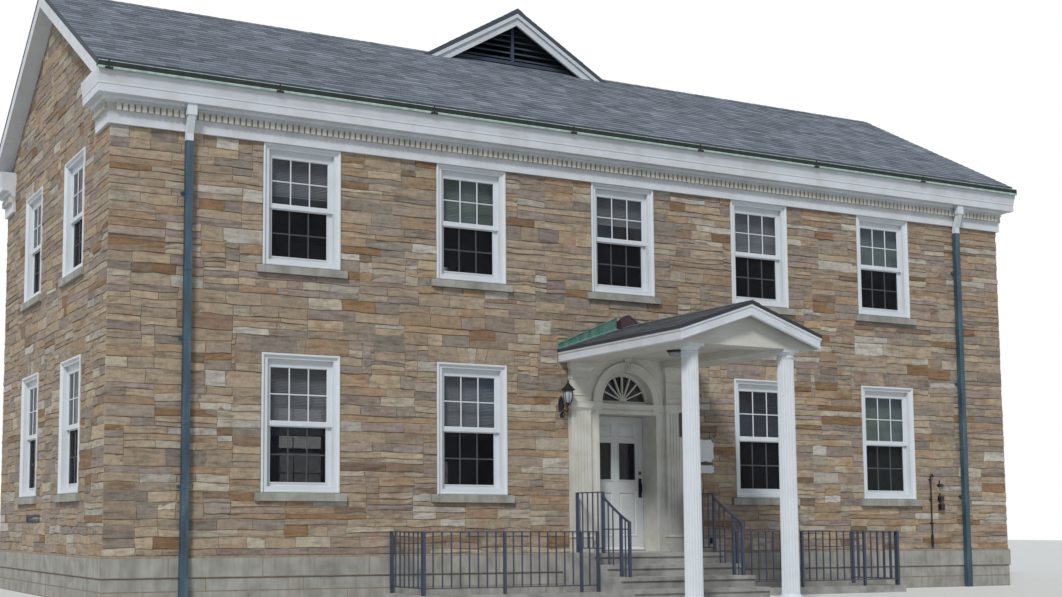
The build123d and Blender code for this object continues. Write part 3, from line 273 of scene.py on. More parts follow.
# Each finish as its slot and its material
finish = {
    "sandstone": ("sandstone", makeSandstone()),
    "mortar": ("sandstone", makeMortar()),
    "limestone": ("limestone", makeLimestone()),
    "concrete": ("concrete", makeConcrete()),
    "white": ("white_paint", makePaint("satin_white_boards", "#c8ccd1", "#a2a19b", 0.5, level, 0.42)),
    # The dentils' paint is a greyer, warmer white than the trim, with strong grime patches: painted shade for
    # the shade under the cornice, along with grime.
    "dentilShadePaint": ("cream_paint", makePaint("dentil_white_painted_shade_and_grime", "#bfbdb5", "#8f897b", 0.8, level, 0.5)),
    # The porch parts' paint is a warmer, greyer white than the trim: painted shade for the shade under the
    # porch, with grime in patches.
    "porch": ("white_paint", makePaint("porch_paint_painted_shade_and_grime", "#c5c4bd", "#9c9787", 0.6, level, 0.45)),
    "upright": ("white_paint", makePaint("satin_white_posts", "#cbd0d4", "#adaca6", 0.3, upright, 0.42)),
    "doorPaint": ("white_paint", makePaint("glossy_door_paint", "#c2c5c5", "#a09e97", 0.4, upright, 0.3)),
    "louvre": ("louvre_slate", makePaint("weathered_slate_paint", "#2b3444", "#465062", 0.6, level, 0.65)),
    "shingles": ("shingles",
                 makeShingle("slate_grey_shingles", ["#454b53", "#5a616a", "#69707a", "#7c838d"])),
    "porchShingles": ("porch_shingles", makeShingle("charcoal_shingles", ["#2f3136", "#404349", "#565a61"])),
    "patina": ("patina_copper",
               makePatina("slate_blue_patina_copper", ["#283743", "#384e5c", "#4c6572"], 0.35, 0.5)),
    # The gutter and its brackets are near black: dark patina copper with painted shade for the shade on the
    # gutter's face.
    "gutterPatinaShade": ("patina_copper",
                     makePatina("gutter_copper_painted_shade", ["#0b0e11", "#12181b", "#202a2b"], 0.4, 0.6)),
    "lipPatina": ("patina_copper",
                  makePatina("pale_green_copper_lip", ["#84a196", "#9fb8ac", "#b9ccc2"], 0.2, 0.7)),
    "flashingPatina": ("patina_copper",
                       makePatina("green_copper_flashing", ["#33544e", "#4a7267", "#6b897e"], 0.35, 0.65)),
    "maroon": ("dark_metal", makeEnamel("maroon_enamel", "#35222b", 0.5, 0.1)),
    "iron": ("iron_paint", makeEnamel("blue_grey_iron_paint", "#3a4153", 0.4, 0.3)),
    "black": ("black_iron", makeEnamel("black_enamel", "#151517", 0.35, 0.1)),
    "brass": ("dark_metal", makeEnamel("tarnished_brass_lacquer", "#5d5546", 0.35, 0.2)),
    # The window glass's dark colour is painted shade of the room behind, and its pale clouds are painted
    # reflection of the sky.
    "glass": ("glass", makeGlass("window_glass", "#10151c", "#3d4a5c", 0.3)),
    "lampGlass": ("glass", makeGlass("frosted_lamp_glass", "#8f979e", "#c3c8cc", 0.85)),
    "slatWhite": ("white_paint", makeSlat("white_blind_slats", "#c9ced2", "#a9afb5")),
    "slatGreen": ("white_paint", makeSlat("pale_green_blind_slats", "#b3cabb", "#93ab9e")),
    "slatDark": ("white_paint", makeSlat("charcoal_blind_slats", "#4d5258", "#3a3e43")),
    "screen": ("dark_metal", makeScreen()),
    "boards": ("floor_boards", makeBoards()),
}

# The finish of each node of the frame that shows as it is
nodeFinish = {
    "mortar": ["foundation", "front_wall_left", "front_wall_right", "front_wall_over_door", "rear_wall",
               "rear_gable", "left_wall", "right_wall"],
    "boards": ["ground_floor", "upper_floor", "attic_floor"],
    "shingles": ["main_roof_front", "main_roof_rear", "cross_roof_left", "cross_roof_right"],
    "louvre": ["gable_louvre"],
    "white": ["gable_trim", "rake_boards", "frieze_boards", "cornices", "portico_fascia"],
    "porch": ["door_frame", "fanlight", "door_surround", "pilasters", "portico_ceiling", "portico_tympanum"],
    "dentilShadePaint": ["dentil_bands"],
    "gutterPatinaShade": ["gutters"],
    "patina": ["downpipes"],
    "upright": ["front_windows", "side_windows", "rear_windows", "column_left", "column_right",
                "downpipe_heads"],
    "glass": ["front_glass", "side_glass", "rear_glass", "door_glass", "fanlight_glass"],
    "limestone": ["window_sills"],
    "doorPaint": ["entrance_door"],
    "black": ["door_handle", "door_hinges", "wall_lanterns"],
    "porchShingles": ["portico_roof"],
    "flashingPatina": ["copper_flashing"],
    "maroon": ["ridge_box"],
    "concrete": ["entrance_landing", "entrance_step_1", "entrance_step_2", "entrance_step_3",
                 "area_curbs", "area_curb_returns"],
    "iron": ["stair_railings", "area_railings", "area_railing_returns"],
}
for look, names in nodeFinish.items():
    for name in names:
        nodes[name].data.materials.clear()
        nodes[name].data.materials.append(finish[look][1])
print("finishes made")


# Faces of some grids of rows by columns of points, stored one after the other
def gridFaces(rows, columns, count=1, closeRows=False, closeColumns=False):
    row, column = np.meshgrid(np.arange(rows if closeRows else rows - 1),
                              np.arange(columns if closeColumns else columns - 1), indexing="ij")
    below, beside = (row + 1) % rows, (column + 1) % columns
    grid = np.stack([row * columns + column, row * columns + beside, below * columns + beside,
                     below * columns + column], -1).reshape(-1, 4)
    return (grid + rows * columns * np.arange(count)[:, None, None]).reshape(-1, 4).tolist()


# A tube through rows of points that each go round it. Its ends are closed, unless it is a ring
def tube(rows, ring=False):
    rows = np.asarray(rows, float)
    count, around = rows.shape[:2]
    ends = [] if ring else [list(range(around))[::-1], list(range(around * (count - 1), around * count))]
    return rows.reshape(-1, 3), gridFaces(count, around, closeRows=ring, closeColumns=True) + ends


# A section carried straight from one point to another: side is the way its first number runs, and
# its second runs into the wall
def straightBar(start, end, side, section):
    section = np.array(section)
    flat = section[:, :1] * np.array(side, float) + section[:, 1:] * np.array([0.0, 1.0, 0.0])
    return tube([flat + start, flat + end])


# A section carried round a rectangle with mitred corners: point = corner + offset times the way in
# from it, at the section's depth. Open frames have no lower side
def mitredFrame(left, right, foot, top, section, openFoot=False):
    offset, depth = np.array(section).T
    inward = np.array([[1, 0 if openFoot else 1], [1, -1], [-1, -1], [-1, 0 if openFoot else 1]])
    corners = np.array([[left, foot], [left, top], [right, top], [right, foot]])
    flat = corners[:, None] + inward[:, None] * offset[:, None]
    depth = np.broadcast_to(depth, flat.shape[:2])
    return tube(np.stack([flat[..., 0], depth, flat[..., 1]], -1), ring=not openFoot)


# A turned shape: point = centre + radius * (cosine, sine) of the turn, at the height beside it in the
# outline, or at that depth if it faces out of the wall
def turnedShape(centre, outline, count=24, facing=False):
    radius, rise = np.array(outline).T[..., None]
    turn = 2 * np.pi * np.arange(count) / count
    across, over, rise = radius * np.cos(turn), radius * np.sin(turn), rise + 0 * turn
    return tube(np.stack([across, rise, over] if facing else [across, over, rise], -1) + np.array(centre))


# A round rod that follows a path: rings of points round each place on it
def rod(path, radius, sides=8, across=(0.0, 1.0, 0.0)):
    path = np.asarray(path, float)
    ahead = np.gradient(path, axis=0)
    ahead /= np.linalg.norm(ahead, axis=1)[:, None]
    side = np.cross(np.cross(ahead, across), ahead)
    side /= np.linalg.norm(side, axis=1)[:, None]
    over = np.cross(ahead, side)
    turn = 2 * np.pi * np.arange(sides)[:, None] / sides
    return tube(path[:, None] + radius * (np.cos(turn) * side[:, None] + np.sin(turn) * over[:, None]))


cubeCorners = np.array([[x, y, z] for z in (0, 1) for y in (0, 1) for x in (0, 1)])
cubeFaces = np.array([[0, 2, 3, 1], [4, 5, 7, 6], [0, 1, 5, 4], [2, 6, 7, 3], [0, 4, 6, 2], [1, 3, 7, 5]])


# Six faces for each run of eight corners
def facesOfBoxes(count):
    return (cubeFaces + 8 * np.arange(count)[:, None, None]).reshape(-1, 4).tolist()


# Boxes from their low and high corners: each point is the low corner plus a share of the size
def boxes(low, high):
    low, high = np.broadcast_arrays(np.atleast_2d(low), np.atleast_2d(high))
    return low[:, None] + (high - low)[:, None] * cubeCorners, facesOfBoxes(len(low))


# Joins meshes given as (points, faces) into one
def gathered(parts):
    points, faces, start = [], [], 0
    for partPoints, partFaces in parts:
        points.append(np.asarray(partPoints, float).reshape(-1, 3))
        faces += [[start + index for index in face] for face in partFaces]
        start += len(points[-1])
    return np.concatenate(points), faces


# Points given along a wall to the right as seen from outside, into it, and up
def onWall(wall, points):
    along, depth, z = np.moveaxis(np.asarray(points, float), -1, 0)
    x, y = {"front": (along, frontY + depth), "rear": (-along, rearY - depth),
            "left": (depth - halfLength, -along), "right": (halfLength - depth, along)}[wall]
    return np.stack([x, y, z], -1)


# Parts in a wall's points, shifted along it, into it and up, as points of the building
def placed(wall, parts, shift=(0.0, 0.0, 0.0)):
    return [(onWall(wall, points + np.array(shift)), faces) for points, faces in parts]


# Makes one piece from its parts, which may be given in a wall's points and lifted by some height.
# Marks are numbers per point for the material. Faces turn outward, unless they already do
def makePiece(name, look, parts, wall=None, lift=0.0, body="building", smooth=False, marks=None,
              replaces=(), turned=False):
    points, faces = gathered(placed(wall, parts, (0.0, 0.0, lift)) if wall else parts)
    mesh = bpy.data.meshes.new(name)
    mesh.from_pydata(points.tolist(), [], faces)
    mesh.update()
    if not turned:
        shape = bmesh.new()
        shape.from_mesh(mesh)
        bmesh.ops.recalc_face_normals(shape, faces=shape.faces)
        shape.to_mesh(mesh)
        shape.free()
    for key, values in (marks or {}).items():
        mesh.attributes.new(key, "FLOAT", "POINT").data.foreach_set("value", values.astype(np.float32))
    mesh.materials.append(finish[look][1])
    if smooth:
        mesh.shade_smooth()
    piece = bpy.data.objects.new(name, mesh)
    bpy.context.scene.collection.objects.link(piece)
    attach(piece, body)
    if replaces:
        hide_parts(*replaces)


# Each wall's windows as (middle along the wall, foot, height)
def windowsOf(wall):
    bays = house["bay"] * np.arange(-2, 3)
    lower = (floorZ + house["lowerFoot"], house["lowerHeight"])
    upper = (floorZ + house["upperFoot"], house["upperHeight"])
    if wall in ("left", "right"):
        sign = -1 if wall == "left" else 1
        lines = [sign * (frontY + side) for side in (house["sideNear"], house["sideFar"])]
        return [(line, *lower) for line in lines] + [(line, *upper) for line in lines]
    ground = bays if wall == "rear" else bays[bays != 0]
    return [(line, *lower) for line in ground] + [(line, *upper) for line in bays]


walls = ("front", "rear", "left", "right")
windows = [(wall, *window) for wall in walls for window in windowsOf(wall)]

# Ledge stones of the four walls. Courses stand on levels that keep to the openings and jump up or
# down between them, each run of a course is cut into one to three rows, and rows into stones
masonry = {"course": 0.262, "jump": 0.055, "jumpEvery": 2.1, "run": 2.0, "joint": 0.004, "arris": 0.006,
           "sunk": 0.003, "proud": (0.003, 0.014), "relief": 0.004, "wander": 0.004, "least": 0.034,
           "archRise": 0.235, "archHalf": 0.735, "keyFoot": 0.05, "keyTop": 0.082, "corner": 0.01,
           "rakeDrop": 0.196, "flashingTuck": 0.018, "clear": 0.2, "guard": (0.2, 0.45), "gap": 0.004,
           "rows": ((0.15, [1]), (0.24, [1, 2, 2, 2, 3]), (math.inf, [2, 2, 3, 3])), "thinRow": 0.1,
           "thick": (0.32, 0.68), "thin": (0.45, 1.15), "spreads": {"run": 0.35, "row": 0.38, "stone": 0.4},
           "shade": 0.09, "toneShares": [0.11, 0.14, 0.15, 0.13, 0.09, 0.11, 0.07, 0.08, 0.06, 0.04, 0.02],
           "waver": [(0.008, 1.13), (0.006, 0.61), (0.005, 0.33), (0.003, 0.19)], "waverEnd": 0.25,
           "waverHole": 0.1, "returnEnd": 0.625}
lowerTop = house["lowerFoot"] + house["lowerHeight"]
upperTop = house["upperFoot"] + house["upperHeight"]
halfDepth = (rearY - frontY) / 2


# Heights of the courses above the floor: fixed levels at the openings, even courses between them
def courseLevels(base, top):
    fixed = [0.0, house["lowerFoot"] - house["sillHeight"], house["lowerFoot"], lowerTop,
             lowerTop + masonry["archRise"], house["upperFoot"] - house["sillHeight"], house["upperFoot"],
             upperTop]
    fixed = [base] + [level for level in fixed if base < level < top - 0.1] + [top]
    parts = [np.linspace(a, b, max(1, round((b - a) / masonry["course"])) + 1)[:-1] for a, b in
             zip(fixed[:-1], fixed[1:])]
    return np.concatenate(parts + [[top]]), fixed


# The holes that windows leave in the stonework, as (left, right, foot, top) above the floor
def windowHoles(places, arched):
    holes = []
    for middle, foot, height in places:
        spans = [(house["frameWidth"] / 2 + masonry["gap"], foot, foot + height),
                 (house["sillWidth"] / 2 + masonry["gap"], foot - house["sillHeight"], foot)]
        if arched or foot < 2:
            spans.append((masonry["archHalf"], foot + height, foot + height + masonry["archRise"]))
        holes += [(middle - half, middle + half, low, high) for half, low, high in spans]
    return holes


# Break points of one level, kept clear of those of the level below and of the openings
def levelBreaks(halfWidth, taken):
    sites, end = [], halfWidth - masonry["clear"]
    for site in np.sort(draws.uniform(-end, end, int(2 * halfWidth / masonry["jumpEvery"]))):
        if all(abs(site - other) > gap for others, gap in ((taken, 0.13), (sites, 0.3)) for other in others):
            sites.append(site)
    return sites


# Moves a break onto one of the level below that is close, or else clear of it on its outer side
def onto(edge, taken, side):
    near = [site for site in taken if abs(site - edge) < masonry["clear"]]
    if not near:
        return edge
    return near[0] if side * (near[0] - edge) > -0.08 else near[0] + side * masonry["clear"]


# A rectangle less a hole, as the rectangles left over
def lessHole(stone, hole):
    left, right, foot, top = stone
    a, b, c, d = hole
    if a >= right or b <= left or c >= top or d <= foot:
        return [stone]
    parts = [(left, right, foot, c), (left, right, d, top),
             (left, a, max(foot, c), min(top, d)), (b, right, max(foot, c), min(top, d))]
    return [p for p in parts if p[1] - p[0] > masonry["least"] and p[3] - p[2] > masonry["least"]]


# Places that cut a span into uneven shares
def splitSpan(low, high, count, spread):
    shares = draws.uniform(1 - spread, 1 + spread, count)
    return low + (high - low) * np.concatenate([[0], np.cumsum(shares) / shares.sum()])


# Stones of a wall as rectangles (left, right, foot, top), heights above the floor
def layCourses(halfWidth, base, top, holes):
    levels, fixed = courseLevels(base, top)
    spreads, clear = masonry["spreads"], masonry["clear"]
    stones, belowSites, belowShifts = [], [], [0.0]
    for below, level in zip(levels[:-1], levels[1:]):
        last = level == levels[-1]
        edges = sorted({edge for hole in holes if hole[2] < level - 0.01 and hole[3] > below + 0.01
                        for edge in hole[:2]})
        sites = levelBreaks(halfWidth, belowSites + edges)
        shifts = draws.uniform(-masonry["jump"], masonry["jump"], len(sites) + 1)
        if last or level in fixed:
            guards = [[onto(edge + side * draws.uniform(*masonry["guard"]), belowSites, side)
                       for edge, side in zip(hole, (-1, 1))] for hole in holes
                      if min(abs(hole[2] - level), abs(hole[3] - level)) < 0.01]
            free = [site for site in sites if not any(a - clear < site < b + clear for a, b in guards)]
            sites = sorted(free + [edge for pair in guards for edge in pair if abs(edge) < halfWidth])
            middles = (np.array([-halfWidth] + sites) + np.array(sites + [halfWidth])) / 2
            shifts = draws.uniform(-masonry["jump"], masonry["jump"], len(middles))
            for k, middle in enumerate(middles):
                if last or any(a < middle < b for a, b in guards):
                    shifts[k] = 0.0
        cuts = np.unique(np.round([-halfWidth, halfWidth] + belowSites + sites + edges, 4))
        keep = [cuts[0]]
        for start, end in zip(cuts[:-1], cuts[1:]):
            if end - start > masonry["run"]:
                count = math.ceil((end - start) / masonry["run"])
                keep.extend(splitSpan(start, end, count, spreads["run"])[1:-1])
            keep.append(end)
        for left, right in zip(keep[:-1], keep[1:]):
            middle = (left + right) / 2
            foot = below + belowShifts[np.searchsorted(belowSites, middle)]
            head = level + shifts[np.searchsorted(sites, middle)]
            choices = next(counts for tall, counts in masonry["rows"] if head - foot < tall)
            rows = splitSpan(foot, head, int(draws.choice(choices)), spreads["row"])
            for low, high in zip(rows[:-1], rows[1:]):
                length = draws.uniform(*masonry["thick" if high - low > masonry["thinRow"] else "thin"])
                ends = splitSpan(left, right, max(1, round((right - left) / length)), spreads["stone"])
                stones += [(a, b, low, high) for a, b in zip(ends[:-1], ends[1:])]
        belowSites, belowShifts = sites, shifts
    for hole in holes:
        stones = [part for stone in stones for part in lessHole(stone, hole)]
    return np.array(stones)


# Blocks and keystone of a flat arch over a window: upright joints lean away from the keystone
def archStones(middle, foot, small):
    half, rise = masonry["archHalf"], masonry["archRise"]
    lines = [(half, half), (masonry["keyFoot"], masonry["keyTop"])]
    if small:
        lines[1:1] = [(0.21, 0.27)]
    lines = np.array([(-low, -high) for low, high in lines] + lines[::-1]) + middle
    return np.stack([np.stack([lines[:-1, 0], lines[1:, 0], lines[:-1, 1], lines[1:, 1]], -1),
                     np.broadcast_to([foot, foot, foot + rise, foot + rise], (len(lines) - 1, 4))], -1)


# Rows and columns of points over each stone: P = the corners blended by s along and t up, with a
# ring at the joint sunk into the wall, a ring behind the arris, and a wandering face between
def stoneMeshes(corners, proud, relief, settings):
    count = len(corners)
    width = np.linalg.norm(corners[:, 1] - corners[:, 0], axis=-1)
    height = sum(np.linalg.norm(corners[:, k + 2] - corners[:, k], axis=-1) / 2 for k in (0, 1))

    def steps(length, inner):
        edge = settings["joint"] / 2 / length
        ring = edge + np.minimum(settings["arris"], length * 0.2) / length
        middle = ring[:, None] + (1 - 2 * ring[:, None]) * np.linspace(0, 1, inner)
        return np.concatenate([edge[:, None], middle, 1 - edge[:, None]], 1)

    s, t = steps(width, 4)[:, None, :, None], steps(height, 3)[:, :, None, None]
    c = corners[:, :, None, None, :]
    flat = (1 - s) * (1 - t) * c[:, 0] + s * (1 - t) * c[:, 1] + (1 - s) * t * c[:, 2] + s * t * c[:, 3]
    flat = flat + draws.uniform(-1, 1, flat.shape) * settings["wander"]
    depth = -(proud[:, None, None] + relief * draws.uniform(-1, 1, (count, 5, 6)))
    tilt = draws.uniform(-1, 1, (2, count, 1, 1)) * relief
    depth = depth + tilt[0] * (2 * s[..., 0] - 1) + tilt[1] * (2 * t[..., 0] - 1)
    depth[:, [0, -1], :] = settings["sunk"]
    depth[:, :, [0, -1]] = settings["sunk"]
    depth = np.minimum(depth, settings["sunk"])
    points = np.stack([flat[..., 0], depth, flat[..., 1]], -1).reshape(count, 30, 3)
    rim = [*range(0, 6), *range(11, 30, 6), *range(28, 23, -1), *range(18, 0, -6)]
    backs = (np.array(rim[::-1]) + 30 * np.arange(count)[:, None]).tolist()
    return points, gridFaces(5, 6, count) + backs


# Cuts stones back to where a sloping line leaves them some height: margin is that height at each end
def trimmed(quads, margin, least=0.012):
    quads, margin = quads[margin.max(1) > least], margin[margin.max(1) > least]
    fall = margin - margin[:, ::-1]
    share = ((margin - least) / np.where(fall == 0, 1.0, fall)).clip(0, 1)
    left, right = quads[:, 0, 0].copy(), quads[:, 1, 0].copy()
    cut = margin < least
    newRight = np.where(cut[:, 1], left + (right - left) * share[:, 0], right)
    newLeft = np.where(cut[:, 0], right - (right - left) * share[:, 1], left)
    quads[:, [0, 2], 0], quads[:, [1, 3], 0] = newLeft[:, None], newRight[:, None]
    return quads[(newRight - newLeft) > masonry["least"]]


# Dresses one wall with its stones. Heads keep under the roof's line and feet over the flashing's, and
# a waver bends the joints: shift = reach * sine along * cosine up, fading out at openings and corners
def faceWall(name, wall, centre, halfWidth, base, top, places=(), others=(), arched=False, headLine=None,
             footLine=None):
    places = [(middle - centre, foot - floorZ, height) for middle, foot, height in places]
    holes = windowHoles(places, arched) + list(others)
    left, right, foot, head = layCourses(halfWidth, base, top, holes).T
    quads = np.stack([np.stack([left, right, left, right], -1), np.stack([foot, foot, head, head], -1)], -1)
    arches = [archStones(middle, z + height, k % 2 == 1) for k, (middle, z, height) in enumerate(places)
              if arched or z < 2]
    quads = np.concatenate([quads, *arches])
    if headLine:
        quads = trimmed(quads, headLine(quads[:, :2, 0]) - quads[:, :2, 1])
        quads[:, 2:, 1] = np.minimum(quads[:, 2:, 1], headLine(quads[:, 2:, 0]))
    if footLine:
        reach, level, line = footLine
        over = (np.abs(quads[:, :, 0].mean(1)) < reach) & (quads[:, 2, 1] > level)
        raised = trimmed(quads[over], quads[over, 2:, 1] - line(quads[over, 2:, 0]))
        raised[:, :2, 1] = np.maximum(raised[:, :2, 1], line(raised[:, :2, 0]))
        quads = np.concatenate([quads[~over], raised])
    quads = quads[(quads[:, 2:, 1] - quads[:, :2, 1]).mean(1) > 0.025]
    count = len(quads)
    points, faces = stoneMeshes(quads, draws.uniform(*masonry["proud"], count), masonry["relief"], masonry)
    clear = ((halfWidth - np.abs(points[..., 0])) / masonry["waverEnd"]).clip(0.0, 1.0)
    for low, high, z0, z1 in holes:
        gap = np.maximum(np.maximum(low - points[..., 0], points[..., 0] - high),
                         np.maximum(z0 - points[..., 2], points[..., 2] - z1))
        clear = np.minimum(clear, (gap / masonry["waverHole"]).clip(0.0, 1.0))
    for reach, size in masonry["waver"]:
        bend = draws.uniform(0, 2 * np.pi, 4)
        run, rise = points[..., 0] * 2 * np.pi / size, points[..., 2] * 2 * np.pi / size * 1.3
        points[..., 2] += clear * reach * np.sin(run + bend[0]) * np.cos(0.7 * rise + bend[1])
        points[..., 0] += clear * reach * np.sin(rise + bend[2]) * np.cos(0.6 * run + bend[3])
    tones = len(masonry["toneShares"])
    tone = draws.choice(tones, count, p=masonry["toneShares"]) / (tones - 1)
    shade = draws.normal(1.0, masonry["shade"], count).clip(0.78, 1.22)
    makePiece(name, "sandstone", [(points + np.array([centre, 0.0, floorZ]), faces)], wall, turned=True,
              marks={"tone": np.repeat(tone, 30), "shade": np.repeat(shade, 30)})
    print(name, count)


gableTop, rearTop = (z - floorZ - house["roofThickness"] - masonry["rakeDrop"] for z in (ridgeZ, crossRidgeZ))
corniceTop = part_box("cornices")[1].z - floorZ
friezeFoot, porchFoot = friezeZ - floorZ, porticoZ - floorZ
flashingLow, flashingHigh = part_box("copper_flashing")


# Top of the flashing over the porch roof, less what the stones are tucked behind it
def flashingLine(along):
    fall = np.abs(along) / flashingHigh.x * (flashingHigh.z - flashingLow.z - 0.095)
    return flashingHigh.z - floorZ - masonry["flashingTuck"] - fall


porchEdge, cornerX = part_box("portico_roof")[1].x + 0.004, halfLength + masonry["corner"]
faceWall("front_wall_stones", "front", 0.0, cornerX, 0.0, friezeFoot, windowsOf("front"),
         [(-house["surroundHalf"], house["surroundHalf"], 0.0, porchFoot),
          (-porchEdge, porchEdge, porchFoot, porchFoot + 0.18)],
         footLine=(porchEdge, porchFoot + 0.1, flashingLine))
faceWall("rear_wall_stones", "rear", 0.0, cornerX, 0.0, friezeFoot, windowsOf("rear"))
faceWall("rear_gable_stones", "rear", 0.0, (rearTop - corniceTop) / house["crossSlope"], corniceTop, rearTop,
         headLine=lambda along: rearTop - np.abs(along) * house["crossSlope"])
for wall, sign in (("left", -1), ("right", 1)):
    faceWall(f"{wall}_wall_stones", wall, sign * ridgeY, halfDepth, 0.0, gableTop, windowsOf(wall),
             [(-halfDepth - 0.1, masonry["returnEnd"] - halfDepth, friezeFoot, corniceTop + 0.004),
              (halfDepth - masonry["returnEnd"], halfDepth + 0.1, friezeFoot, corniceTop + 0.004)],
             arched=True, headLine=lambda along: gableTop - np.abs(along) * house["mainSlope"])

# Sawn blocks of the foundation: a row of long ones in the water table and two rows under it
blockWork = {"joint": 0.007, "arris": 0.006, "sunk": 0.002, "wander": 0.0006, "length": 1.15, "spread": 0.3,
             "proud": 0.002, "relief": 0.0004,
             "rows": [(-0.288, -0.026, 0.032), (-0.472, -0.294, 0.014), (-0.656, -0.476, 0.014)]}
for wall in walls:
    quads, shift = [], []
    centre = {"front": 0.0, "rear": 0.0, "left": -ridgeY, "right": ridgeY}[wall]
    for foot, head, outset in blockWork["rows"]:
        half = (halfLength if wall in ("front", "rear") else halfDepth) + outset
        ends = splitSpan(-half, half, round(2 * half / blockWork["length"]), blockWork["spread"])
        quads += [[[a, foot], [b, foot], [a, head], [b, head]] for a, b in zip(ends[:-1], ends[1:])]
        shift += [outset] * (len(ends) - 1)
    proud = np.full(len(quads), blockWork["proud"])
    points, faces = stoneMeshes(np.array(quads), proud, blockWork["relief"], blockWork)
    points = points + np.array([centre, 0.0, floorZ])
    points[..., 1] -= np.array(shift)[:, None]
    makePiece(f"{wall}_foundation_blocks", "limestone", [(points, faces)], wall)
print("stones laid")

# Roof shingles: thin tabs in courses up each slope, thick at their lower edge, with slots between
shingleWork = {"exposure": 0.143, "lap": 0.02, "tab": (0.15, 0.34), "slot": 0.005, "thick": 0.007,
               "thin": 0.001, "under": 0.0015, "uneven": 0.002, "least": 0.04, "capWidth": 0.135,
               "cap": 0.014, "gap": 0.02, "valleyGap": 0.012, "porchCapStart": 0.14}


# Courses of tabs between two edges that may slope: low and high give the ends of a course at b
def slopeTabs(length, low, high):
    quads, lifts = [], []
    for k in range(math.ceil(length / shingleWork["exposure"])):
        b0 = k * shingleWork["exposure"]
        b1 = min(b0 + shingleWork["exposure"] + shingleWork["lap"], length)
        start, end = min(low(b0), low(b1)), max(high(b0), high(b1))
        if end - start < 0.05:
            continue
        widths = draws.uniform(*shingleWork["tab"], int((end - start) / 0.2) + 3)
        cuts = start + np.concatenate([[0], np.cumsum(widths)])
        cuts = np.append(cuts[cuts < end - shingleWork["least"]], end)
        edges = np.stack([cuts[:-1] + shingleWork["slot"] / 2, cuts[1:] - shingleWork["slot"] / 2], -1)
        foot, head = (edges.clip(low(b), high(b)) for b in (b0, b1))
        keep = (foot[:, 1] - foot[:, 0]) + (head[:, 1] - head[:, 0]) > shingleWork["least"]
        footLine = b0 + draws.uniform(-shingleWork["uneven"], shingleWork["uneven"], (len(foot), 1)) * (k > 0)
        rows = [np.stack(np.broadcast_arrays(ends, b), -1) for ends, b in ((foot, footLine), (head, b1))]
        quads.append(np.concatenate(rows, 1)[keep])
        thick = shingleWork["thick"] * draws.uniform(0.8, 1.25, (keep.sum(), 1))
        lifts.append(np.concatenate([thick, thick, np.full((keep.sum(), 2), shingleWork["thin"])], 1))
    return np.concatenate(quads), np.concatenate(lifts)


# Caps folded over a ridge: one on each side, each end tucked under the next
def ridgeCaps(length, height):
    count = round(length / shingleWork["exposure"])
    cuts = np.linspace(0, length, count + 1)
    a0, a1 = cuts[:-1], np.minimum(cuts[1:] + 0.01, length)
    b0, b1 = np.full(count, height - shingleWork["capWidth"]), np.full(count, height)
    quads = np.stack([np.stack([a0, b0], -1), np.stack([a1, b0], -1), np.stack([a0, b1], -1),
                      np.stack([a1, b1], -1)], 1)
    thick = shingleWork["cap"] * draws.uniform(0.85, 1.15, count)
    return quads, np.stack([thick, thick * 0.7, thick, thick * 0.7], -1)


# Lays tabs on a slope, in metres along it and up it: P = origin + a along + b up + lift normal, where
# each corner has its own lift and the underside lies just in the roof
def shingle(name, origin, along, up, tabs, look="shingles"):
    corners, lifts = (np.concatenate(part) for part in zip(*tabs))
    along, up = np.array(along, float), np.array(up, float)
    normal = np.cross(along, up)
    flat = np.array(origin) + corners[..., :1] * along + corners[..., 1:] * up
    points = np.concatenate([flat - shingleWork["under"] * normal, flat + lifts[..., None] * normal], 1)
    tone = draws.beta(2.2, 2.2, len(corners))
    makePiece(name, look, [(points, facesOfBoxes(len(corners)))], marks={"tone": np.repeat(tone, 8)})
    print(name, len(corners), "tabs")


def noEdge(b):
    return 0.0


mainRun, crossRun, porchRun = (math.hypot(1, house[f"{roof}Slope"]) for roof in ("main", "cross", "portico"))
eaveZ = ridgeZ - (ridgeY - eaveY) * house["mainSlope"]
slopeLength = (ridgeY - eaveY) * mainRun
capStart = (crossRidgeZ - ridgeZ) / house["crossSlope"] + shingleWork["gap"]
gableLow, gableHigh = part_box("cross_roof_left")
ridgeCap = ridgeCaps(vergeX - capStart, slopeLength)
leftCap = (ridgeCap[0] + [capStart + vergeX, 0.0], ridgeCap[1])


# Distance from the middle to the valley on the rear slope at b up the slope
def valley(b):
    rise = crossRidgeZ - ridgeZ + house["mainSlope"] * (slopeLength - b) / mainRun
    return rise / house["crossSlope"] + shingleWork["valleyGap"]


up = (0, 1 / mainRun, house["mainSlope"] / mainRun)
shingle("front_shingles", (-vergeX, eaveY, eaveZ), (1, 0, 0), up,
        [slopeTabs(slopeLength, noEdge, lambda b: 2 * vergeX), ridgeCap, leftCap])
for side, low, high, cap in (("right", noEdge, lambda b: vergeX - valley(b), ridgeCap),
                             ("left", lambda b: vergeX + valley(b), lambda b: 2 * vergeX, leftCap)):
    shingle(f"rear_{side}_shingles", (vergeX, 2 * ridgeY - eaveY, eaveZ), (-1, 0, 0), (0, -up[1], up[2]),
            [slopeTabs(slopeLength, low, high), cap])

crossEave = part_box("cross_roof_right")[1].x
crossLength = crossEave * crossRun
crossDepth = gableHigh.y - gableLow.y


# Where the valley crosses the cross gable's slope at b up it, from the front edge of the gable
def valleyDepth(b):
    fall = (crossLength - b) / crossRun * house["crossSlope"] - crossRidgeZ + ridgeZ
    return max(0.0, ridgeY - gableLow.y + fall / house["mainSlope"] + shingleWork["valleyGap"])


